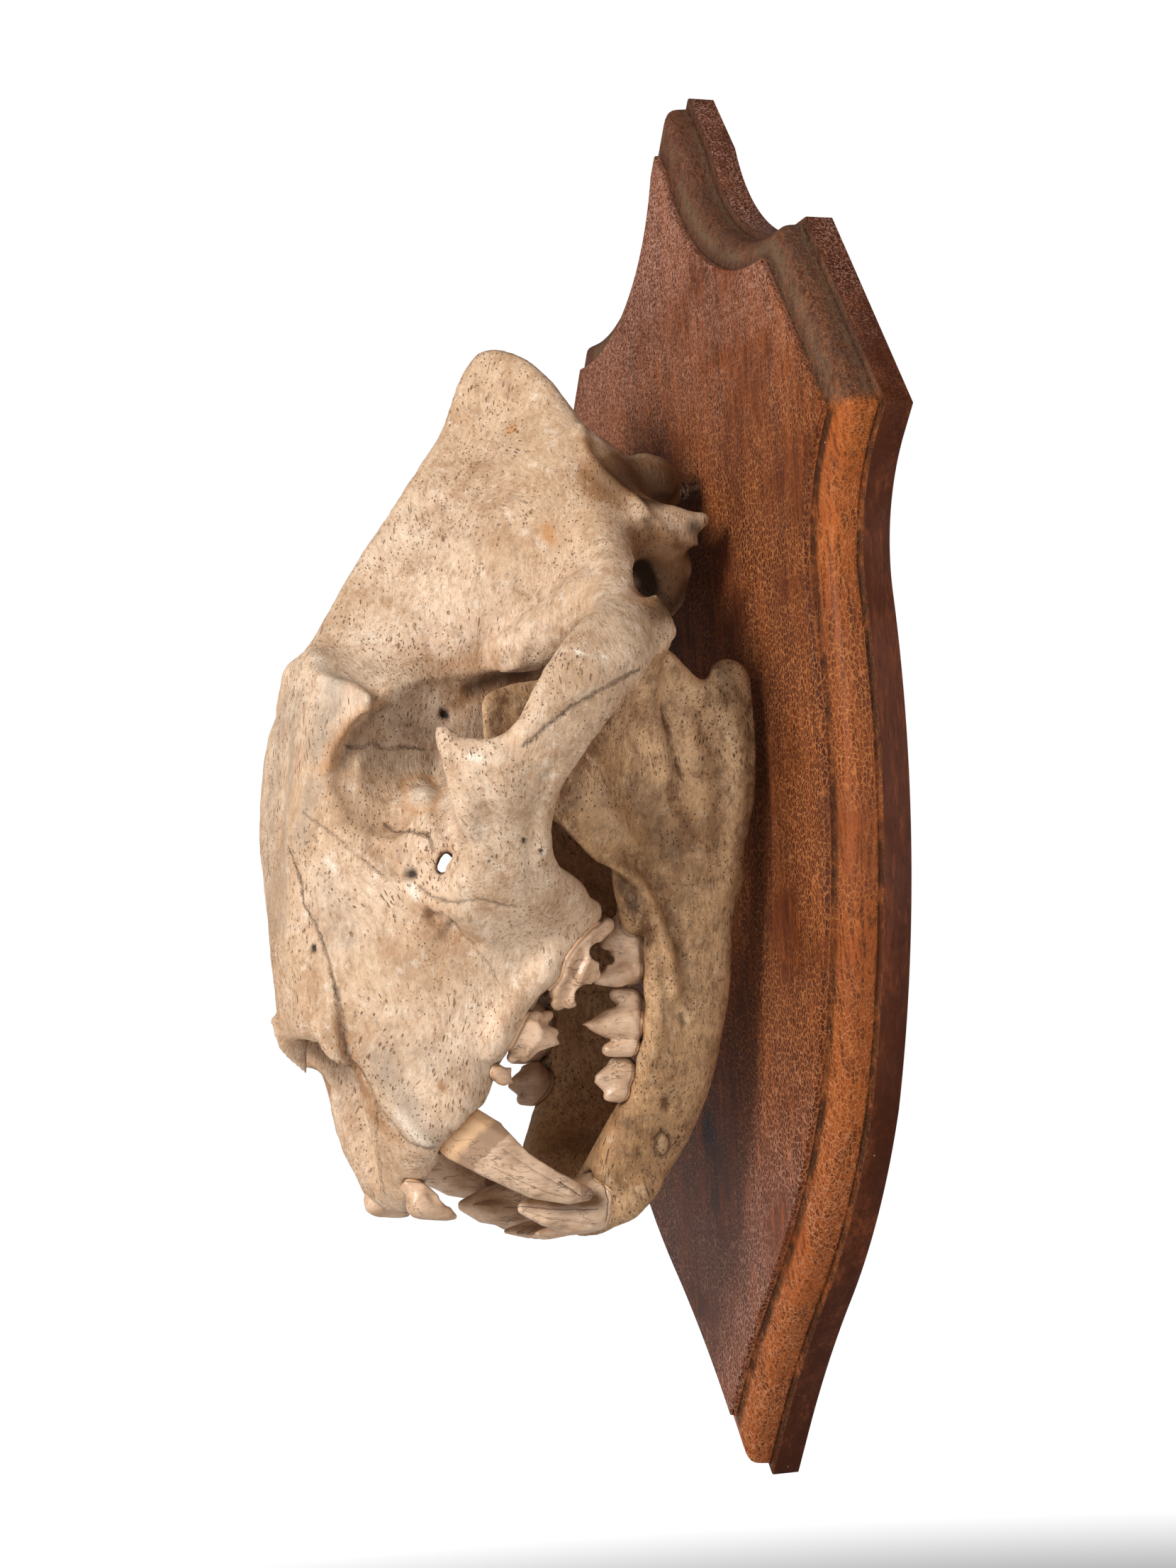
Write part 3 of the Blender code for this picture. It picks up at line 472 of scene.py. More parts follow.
@dataclass(frozen=True)
class WoodFinish:
    """Polished reddish hardwood: upright grain, crackled varnish, dust in the moulding, the
    moulding lighter partly as a painted highlight, and painted shade in the corners of its steps
    and where the jaw meets the face.
    """

    deep: Colour = (0.050, 0.011, 0.003)
    body: Colour = (0.125, 0.030, 0.008)
    bright: Colour = (0.30, 0.073, 0.015)
    glow: Colour = (0.50, 0.120, 0.022)
    purple: Colour = (0.100, 0.034, 0.022)
    crackle: Colour = (0.54, 0.20, 0.065)
    haze: Colour = (0.46, 0.24, 0.17)
    shade_and_pore_dark: Colour = (0.020, 0.010, 0.006)
    olive: Colour = (0.150, 0.100, 0.055)
    dusk: Colour = (0.090, 0.068, 0.050)
    dust: Colour = (0.55, 0.47, 0.38)
    # Depths behind the panel's face: its little step, the moulding's groove, the slab
    step: float = 0.0033
    groove: float = 0.0167
    slab: float = 0.0172
    # Heights Z between which the faded foot, the hazy top and the dusty upper ledge begin
    foot: Point = (-0.19, -0.10)
    top: Point = (0.10, 0.23)
    ledge: Point = (0.122, 0.130)
    # A patch of painted shadow where the jaw meets the face, with pale lint in it: X and Z
    lint_and_shadow_spot: Point = (-0.004, -0.143)

    def make(self, face: float) -> Material:
        """Build the material.

        Args:
            face: Y of the panel's face.

        Returns:
            The material.
        """
        g = Graph("mahogany")
        upright = g.stretched((1.0, 1.0, 0.055))
        figure = g.noise(70, 4, 0.62, g.warped(upright, 14, 0.02))
        grain = g.noise(560, 5, 0.7, upright)
        pore = g.noise(1300, 2, 0.7, g.stretched((1.0, 1.0, 0.14)))
        broad = g.noise(9, 4, 0.6)
        patches = g.noise(22, 5, 0.65)
        flame = g.noise(430, 3, 0.7, g.stretched((1.0, 1.0, 0.13)))
        crazed = g.warped(g.stretched((1.0, 1.0, 0.62)), 380, 0.0020)
        edges = g.cells(610, "DISTANCE_TO_EDGE", crazed)
        depth = g.axis("Y") - face
        slab = depth.rise(self.slab, self.slab + 0.0006)
        crackle = edges.drop(0.03, 0.13) * patches.rise(0.30, 0.56) * (1.0 - slab)
        low = g.axis("Z").drop(*self.foot)
        grit = g.noise(1100, 3, 0.7)
        specks = g.cells(150).drop(0.03, 0.055) * g.noise(30, 2).rise(0.55, 0.62)
        # painted shade in the corners of the step and the groove
        crease_shade = (abs(depth - self.step).drop(0.0004, 0.0010)
                   .most(abs(depth - self.groove).drop(0.0003, 0.0011)))
        high = g.axis("Z").rise(*self.top)
        beyond = depth.rise(0.0010, 0.0030) * (1.0 - slab)
        leaning = g.axis("Z").rise(*self.ledge) * beyond
        near_step = abs(depth - (self.step + 0.0013)).drop(0.0, 0.0014)
        near_groove = abs(depth - (self.groove - 0.0022)).drop(0.0, 0.0026)
        stained = slab * g.noise(55, 5, 0.7, g.stretched((1.0, 1.0, 0.35))).rise(0.34, 0.56)
        net = crackle * (1.0 - high * 0.45) * (1.0 - leaning * 0.6) * (1.0 + low * 0.3)
        faded = low.most(high * 0.8) * (1.0 - beyond * 0.7)
        haze = high * (1.0 - beyond) * grit.rise(0.45, 0.65) * patches.rise(0.30, 0.60)
        dusty = leaning * near_step.most(near_groove) * grit.rise(0.34, 0.60)
        ragged = g.noise(60, 4, 0.7).rise(0.34, 0.60, 0.30, 0.85)
        # painted shadow where the jaw meets the face, with pale lint specks on it
        centre = (self.lint_and_shadow_spot[0], face, self.lint_and_shadow_spot[1])
        lint_and_shadow_spot = g.node("VectorMath", {"operation": "DISTANCE"},
                      {0: g.warped(g.place, 160, 0.012), 1: centre}, "Value").drop(0.003, 0.009)
        lint = g.noise(900, 3, 0.8).rise(0.60, 0.66)
        colour = g.layers(
            g.ramp(figure, [(0.28, self.deep), (0.50, self.body), (0.74, self.bright)]),
            # the moulding painted a brighter orange: partly its own colour, partly a painted
            # highlight where the light falls on it
            (beyond * (1.0 - leaning) * 0.60, self.glow),
            (leaning * 0.64, self.dusk),
            (flame.rise(0.50, 0.62) * (1.0 - leaning * 0.6) * 0.60, self.bright),
            (grain.rise(0.46, 0.62) * 0.70, self.deep),
            (slab * 0.35, self.purple),
            (stained * 0.80, self.deep),
            (broad.rise(0.40, 0.62) * 0.45, self.purple),
            (pore.rise(0.56, 0.70) * 0.55, self.shade_and_pore_dark),
            (net * 0.62, g.layers(self.crackle, (faded, self.haze))),
            (haze, self.haze),
            (dusty * g.noise(70, 4, 0.7).rise(0.36, 0.58) * 0.75, self.olive),
            # painted shade along those corners, ragged
            (crease_shade * ragged * (1.0 - leaning * 0.65), self.shade_and_pore_dark),
            (specks * 0.9, self.dust),
            (lint_and_shadow_spot * 0.8, self.shade_and_pore_dark),
            (lint_and_shadow_spot * lint * 0.8, self.dust))
        height = grain * 0.4 + pore * -0.4 + crackle * 0.6 + grit * 0.3
        return g.finish(Base_Color=colour, Roughness=0.40 + crackle * 0.15 + dusty * 0.4,
                        Specular_IOR_Level=0.10, Normal=g.bump(height, 0.0004, 0.8))


@dataclass(frozen=True)
class WireFinish:
    """Old wire, unevenly rusted."""

    rust: Colour = (0.34, 0.21, 0.14)
    dark: Colour = (0.12, 0.075, 0.05)
    lumps: float = 900
    roughness: float = 0.55
    metallic: float = 0.2

    def make(self) -> Material:
        """Build the material."""
        g = Graph("rusty_wire")
        mottle = g.noise(self.lumps, 3, 0.6).rise(0.4, 0.6)
        return g.finish(Base_Color=g.layers(self.rust, (mottle, self.dark)),
                        Roughness=self.roughness, Metallic=self.metallic)


class Effect(Enum):
    """What a stroke does to the colour of the skin under it."""

    NONE = ""
    GREY = "grey"
    # browned marks: stains in places, and painted shade in troughs, hollows and under overhangs
    BROWN = "brown_and_shade"
    RUST = "rust"
    CHALK = "chalk"
    # painted shade, as dark as in a deep pit or under a rim
    PAINTED_SHADE = "painted_shade"
    INK = "line_ink"


NONE, GREY, BROWN, RUST, CHALK, PAINTED_SHADE, INK = Effect


@dataclass(frozen=True)
class Stroke:
    """A line on the bone, seen in the photograph.

    Its height is raised above the skin, or sunk below it if negative. Ink draws a thin
    wandering line along its middle, and the other effects colour its whole width.
    """

    width_mm: float
    height_mm: float
    effect: Effect
    strength: float
    pixels: Sequence[Point]
    mirrored: bool = True


def draw(width_mm: float, height_mm: float, effect: Effect, strength: float, *path: float,
         mirrored: bool = True) -> Stroke:
    """Return a stroke through pixels that are given as x, y, x, y."""
    pixels = tuple(zip(path[::2], path[1::2]))
    return Stroke(width_mm, height_mm, effect, strength, pixels, mirrored)


def draw_left(*stroke: Any) -> Stroke:
    """Return a stroke that the right side doesn't have."""
    return draw(*stroke, mirrored=False)


def bend(width_mm: float, height_mm: float, *path: float) -> Stroke:
    """Return a stroke that only raises or sinks the skin."""
    return draw(width_mm, height_mm, NONE, 0, *path)


@dataclass(frozen=True)
class Chain:
    """Balls joined one after another, or all in one hull, added to a piece or cut from it.

    Each knot is a pixel of the photograph, the distance X from the middle and the radius.
    """

    knots: Sequence[Knot]
    cut: bool = False
    hull: bool = False
    mirrored: bool = True

    def build(self, mirrored: bool = False) -> list[Piece]:
        """Make the closed solids of the chain.

        Args:
            mirrored: whether it is wanted on the skull's right side.

        Returns:
            One hull for each link.
        """
        flip = MIRROR if mirrored else Vector((1.0, 1.0, 1.0))
        balls = [(CAMERA.at_side((x, y), side) * flip, radius * MM)
                 for x, y, side, radius in self.knots]
        if self.hull or len(balls) < 3:
            return [hull_round(balls)]
        return [hull_round(pair) for pair in zip(balls[:-1], balls[1:])]


def add(*knots: Knot, **options: bool) -> Chain:
    """Return balls that are added."""
    return Chain(knots, **options)


def cut(*knots: Knot, **options: bool) -> Chain:
    """Return balls that are cut away."""
    return Chain(knots, cut=True, **options)


def through(near: float, far: float, *spots: Sequence[float], mirrored: bool = True) -> Chain:
    """Return a cut straight across, from one distance X to another.

    Args:
        near: where it starts.
        far: where it ends.
        spots: pixels, each with a radius.
        mirrored: whether the right side has it as well.

    Returns:
        The chain, one hull.
    """
    knots = [(x, y, side, radius) for side in (near, far) for x, y, radius in spots]
    return cut(*knots, hull=True, mirrored=mirrored)


def deselect() -> None:
    """Leave nothing selected."""
    bpy.ops.object.select_all(action="DESELECT")


def activate(piece: Piece) -> None:
    """Make a piece the only one selected and the active one."""
    deselect()
    piece.select_set(True)
    bpy.context.view_layer.objects.active = piece


def edit(piece: Piece, *steps: Callable[[], Any]) -> None:
    """Run operators on the whole mesh of a piece."""
    activate(piece)
    bpy.ops.object.mode_set(mode="EDIT")
    bpy.ops.mesh.select_all(action="SELECT")
    for step in steps:
        step()
    bpy.ops.object.mode_set(mode="OBJECT")


def hull_round(balls: Sequence[tuple[Vector, float]]) -> Piece:
    """Model the hull round some balls.

    Args:
        balls: centres and radii in metres.

    Returns:
        The closed solid.
    """
    made = []
    for centre, radius in balls:
        deselect()
        bpy.ops.mesh.primitive_ico_sphere_add(subdivisions=2, radius=radius, location=centre)
        made.append(bpy.context.active_object)
    hull = join(made)
    edit(hull, bpy.ops.mesh.convex_hull)
    return hull


def join(pieces: Sequence[Piece]) -> Piece:
    """Join pieces into the first one, with its origin at the frame's."""
    activate(pieces[0])
    for piece in pieces[1:]:
        piece.select_set(True)
    bpy.ops.object.join()
    bpy.ops.object.transform_apply(location=True, rotation=True, scale=True)
    return pieces[0]


def apply_modifier(piece: Piece, kind: str, **settings: Any) -> None:
    """Add a modifier to a piece and apply it."""
    activate(piece)
    modifier = piece.modifiers.new(kind.lower(), kind)
    for key, value in settings.items():
        setattr(modifier, key, value)
    bpy.ops.object.modifier_apply(modifier=modifier.name)


def even_out(piece: Piece, voxel_mm: float, rounds: int) -> None:
    """Give a piece an even skin of small faces and smooth it."""
    apply_modifier(piece, "REMESH", mode="VOXEL", voxel_size=voxel_mm * MM)
    apply_modifier(piece, "SMOOTH", factor=0.5, iterations=rounds)


def shape(piece: Piece, chains: Sequence[Chain], voxel_mm: float, both: bool) -> None:
    """Add chains to a piece, then cut chains from it.

    Args:
        piece: the piece, evenly meshed.
        chains: what is added and cut.
        voxel_mm: the mesh's fineness.
        both: whether the piece has a right side as well.
    """
    for cutting in (False, True):
        solids: list[Piece] = []
        for chain in chains:
            if chain.cut is cutting:
                solids += chain.build()
                if both and chain.mirrored:
                    solids += chain.build(mirrored=True)
        if not solids:
            continue
        if cutting:
            tool = join(solids)
            even_out(tool, voxel_mm, TOOL_SMOOTHING)
            apply_modifier(piece, "BOOLEAN", operation="DIFFERENCE", solver="MANIFOLD",
                           object=tool)
            bpy.data.objects.remove(tool)
        else:
            join([piece, *solids])
        even_out(piece, voxel_mm, PIECE_SMOOTHING)
    drop_crumbs(piece)


def drop_crumbs(piece: Piece) -> None:
    """Leave only a piece's largest connected body."""
    edit(piece, partial(bpy.ops.mesh.separate, type="LOOSE"))
    bodies = list(bpy.context.selected_objects)
    largest = max(bodies, key=lambda body: len(body.data.vertices))
    piece.data, largest.data = largest.data, piece.data
    for body in bodies:
        if body != piece:
            bpy.data.objects.remove(body)


def copy_of(node: Piece, name: str) -> Piece:
    """Copy a CAD node's mesh and join its loose triangles.

    Args:
        node: the node.
        name: the new piece's name.

    Returns:
        The new piece.
    """
    piece = bpy.data.objects.new(name, node.data.copy())
    piece.data.materials.clear()
    bpy.context.scene.collection.objects.link(piece)
    edit(piece, partial(bpy.ops.mesh.remove_doubles, threshold=MERGE))
    return piece


def mirrored_copy(piece: Piece, name: str) -> Piece:
    """Copy a piece of the left side to the right, with its own mesh."""
    activate(piece)
    bpy.ops.object.duplicate(linked=False)
    twin = bpy.context.active_object
    twin.name = name
    edit(twin, partial(bpy.ops.transform.resize, value=MIRROR, center_override=(0, 0, 0)),
         bpy.ops.mesh.flip_normals)
    return twin


def keep(piece: Piece, name: str, values: Sequence[float]) -> None:
    """Store a value on each point of a piece's mesh."""
    piece.data.attributes.new(name, "FLOAT", "POINT").data.foreach_set("value", values)


def roughen(piece: Piece, size_mm: float, depth_mm: float) -> None:
    """Make a skin uneven by soft lumps of a size."""
    lumps = bpy.data.textures.new(f"lumps_{size_mm}", "CLOUDS")
    lumps.noise_scale = size_mm * MM
    lumps.noise_depth = 3
    apply_modifier(piece, "DISPLACE", texture=lumps, texture_coords="LOCAL",
                   strength=depth_mm * MM, mid_level=0.5)


class Carver:
    """Works a piece's skin: raises, sinks and marks it along strokes."""

    def __init__(self, piece: Piece) -> None:
        """Read the piece's skin."""
        self.piece = piece
        self.read()
        count = len(self.spots)
        self.marks = {effect.value: np.zeros(count, np.float32)
                      for effect in Effect if effect is not NONE}
        for name in ("line_side", "line_near"):
            self.marks[name] = np.full(count, NO_LINE, np.float32)

    def read(self) -> None:
        """Read places and normals, and the surface that rays are cast on."""
        mesh = self.piece.data
        self.spots, self.normals = np.empty((2, len(mesh.vertices), 3), np.float32)
        mesh.vertices.foreach_get("co", self.spots.ravel())
        mesh.vertices.foreach_get("normal", self.normals.ravel())
        self.tree = BVHTree.FromPolygons(self.spots.tolist(),
                                         [tuple(p.vertices) for p in mesh.polygons])

    def write(self) -> None:
        """Put the moved places back into the mesh."""
        self.piece.data.vertices.foreach_set("co", self.spots.ravel())
        self.piece.data.update()
        self.read()

    def path(self, pixels: Sequence[Point], mirrored: bool) -> list[tuple[Vector, Vector]]:
        """Carry pixels onto the skin.

        Args:
            pixels: the line's pixels in the photograph.
            mirrored: whether it is wanted on the far side instead.

        Returns:
            Points about a millimetre apart, each with the skin's normal there.
        """
        hits = []
        for pixel in pixels:
            place, normal, _, _ = self.tree.ray_cast(Vector(CAMERA.place), CAMERA.ray(pixel))
            if place is not None:
                hits.append((place, normal))
        if mirrored:
            hits = [self.tree.find_nearest(place * MIRROR)[0:2] for place, _ in hits]
        if len(hits) < 2:
            return hits
        dense = []
        for (start, from_normal), (end, to_normal) in zip(hits[:-1], hits[1:]):
            steps = max(1, round((end - start).length / MM))
            for i in range(steps):
                share = i / steps
                place = self.tree.find_nearest(start.lerp(end, share))[0]
                dense.append((place, from_normal.lerp(to_normal, share).normalized()))
        dense.append(hits[-1])
        return dense

    def carve(self, strokes: Sequence[Stroke], both: bool) -> None:
        """Lay strokes on the skin and write the result.

        Args:
            strokes: the strokes.
            both: whether the piece has a right side as well.
        """
        for stroke in strokes:
            for mirrored in (False, True) if both and stroke.mirrored else (False,):
                path = self.path(stroke.pixels, mirrored)
                if path:
                    self._lay(path, stroke)
        self.write()

    def _lay(self, path: list[tuple[Vector, Vector]], stroke: Stroke) -> None:
        """Move and mark the skin near a path."""
        reach = max(stroke.width_mm, INK_REACH_MM if stroke.effect is INK else 0.0) * MM
        places = np.array([p for p, _ in path], np.float32)
        facing = np.array([n for _, n in path], np.float32)
        low = places.min(0) - reach
        high = places.max(0) + reach
        close = np.where(((self.spots > low) & (self.spots < high)).all(1))[0]
        if not len(close):
            return
        tree = KDTree(len(path))
        for i, (place, _) in enumerate(path):
            tree.insert(place, i)
        tree.balance()
        found = [tree.find(spot)[1:] for spot in self.spots[close].tolist()]
        nearest = np.array([f[0] for f in found])
        distance = np.array([f[1] for f in found], np.float32)
        same_side = (self.normals[close] * facing[nearest]).sum(1) > SAME_SIDE
        keep = (distance < reach) & same_side
        close, nearest, distance = close[keep], nearest[keep], distance[keep]
        fall = np.clip(1.0 - (distance / (stroke.width_mm * MM)) ** 2, 0.0, 1.0) ** 2
        self.spots[close] += facing[nearest] * (fall * stroke.height_mm * MM)[:, None]
        if stroke.effect not in (NONE, INK):
            layer = self.marks[stroke.effect.value]
            layer[close] = np.maximum(layer[close], fall * stroke.strength)
        if stroke.effect is INK and len(path) > 1:
            along = np.gradient(places, axis=0)
            side = np.cross(along, facing)
            side /= np.linalg.norm(side, axis=1, keepdims=True) + 1e-9
            signed = ((self.spots[close] - places[nearest]) * side[nearest]).sum(1) / MM
            better = distance / MM < self.marks["line_near"][close]
            chosen = close[better]
            self.marks["line_near"][chosen] = distance[better] / MM
            self.marks["line_side"][chosen] = signed[better]
            self.marks["line_ink"][chosen] = stroke.strength

    def store(self) -> None:
        """Keep the marks on the mesh for the finish to read."""
        for name, values in self.marks.items():
            keep(self.piece, name, values)


def surface_of(pieces: Sequence[Piece]) -> BVHTree:
    """Return one surface made of several pieces, to cast rays on."""
    corners: list[Vector] = []
    faces: list[tuple[int, ...]] = []
    for piece in pieces:
        base = len(corners)
        corners += [v.co for v in piece.data.vertices]
        faces += [tuple(base + i for i in p.vertices) for p in piece.data.polygons]
    return BVHTree.FromPolygons(corners, faces)


def measure_openness(tree: BVHTree, targets: Sequence[Piece], rays: int) -> None:
    """Store on each target how open its skin is to the air around it.

    Args:
        tree: everything that can shade.
        targets: the pieces to measure.
        rays: directions tried at each point.
    """
    golden = math.pi * (3.0 - math.sqrt(5.0))
    dome = []
    for i in range(rays):
        height = 1.0 - (i + 0.5) / rays * LOWEST_RAY
        ring = math.sqrt(1.0 - height * height)
        dome.append((ring * math.cos(golden * i), ring * math.sin(golden * i), height))
    for target in targets:
        mesh = target.data
        values = np.empty(len(mesh.vertices), np.float32)
        for i, vertex in enumerate(mesh.vertices):
            normal = vertex.normal
            across = normal.orthogonal().normalized()
            third = normal.cross(across)
            start = vertex.co + normal * RAY_START
            seen = 0.0
            for x, y, z in dome:
                hit = tree.ray_cast(start, across * x + third * y + normal * z, RAY_REACH)
                seen += 1.0 if hit[0] is None else hit[3] / RAY_REACH * FAR_HIT
            values[i] = seen / rays
        keep(target, "openness", values)


@dataclass
class Sculpture:
    """A copy of a CAD node, made finer: forms are added and cut, then lines are carved."""

    node: Piece
    voxel_mm: float = 1.4
    smoothing: int = 12
    chains: Sequence[Chain] = ()
    forms: Sequence[Stroke] = ()
    details: Sequence[Stroke] = ()
    # Size and depth of the skin's unevenness, coarse and fine
    lumps_mm: Sequence[Point] = ((11, 0.9), (3.5, 0.3))

    def sculpt(self, name: str, both: bool) -> Piece:
        """Work the copy.

        Args:
            name: the new piece's name.
            both: whether it has a right side as well.

        Returns:
            The piece.
        """
        piece = copy_of(self.node, name)
        even_out(piece, self.voxel_mm, self.smoothing)
        shape(piece, self.chains, self.voxel_mm, both)
        carver = Carver(piece)
        for strokes in (self.forms, self.details):
            carver.carve(strokes, both)
        carver.store()
        for size_mm, depth_mm in self.lumps_mm:
            roughen(piece, size_mm, depth_mm)
        return piece


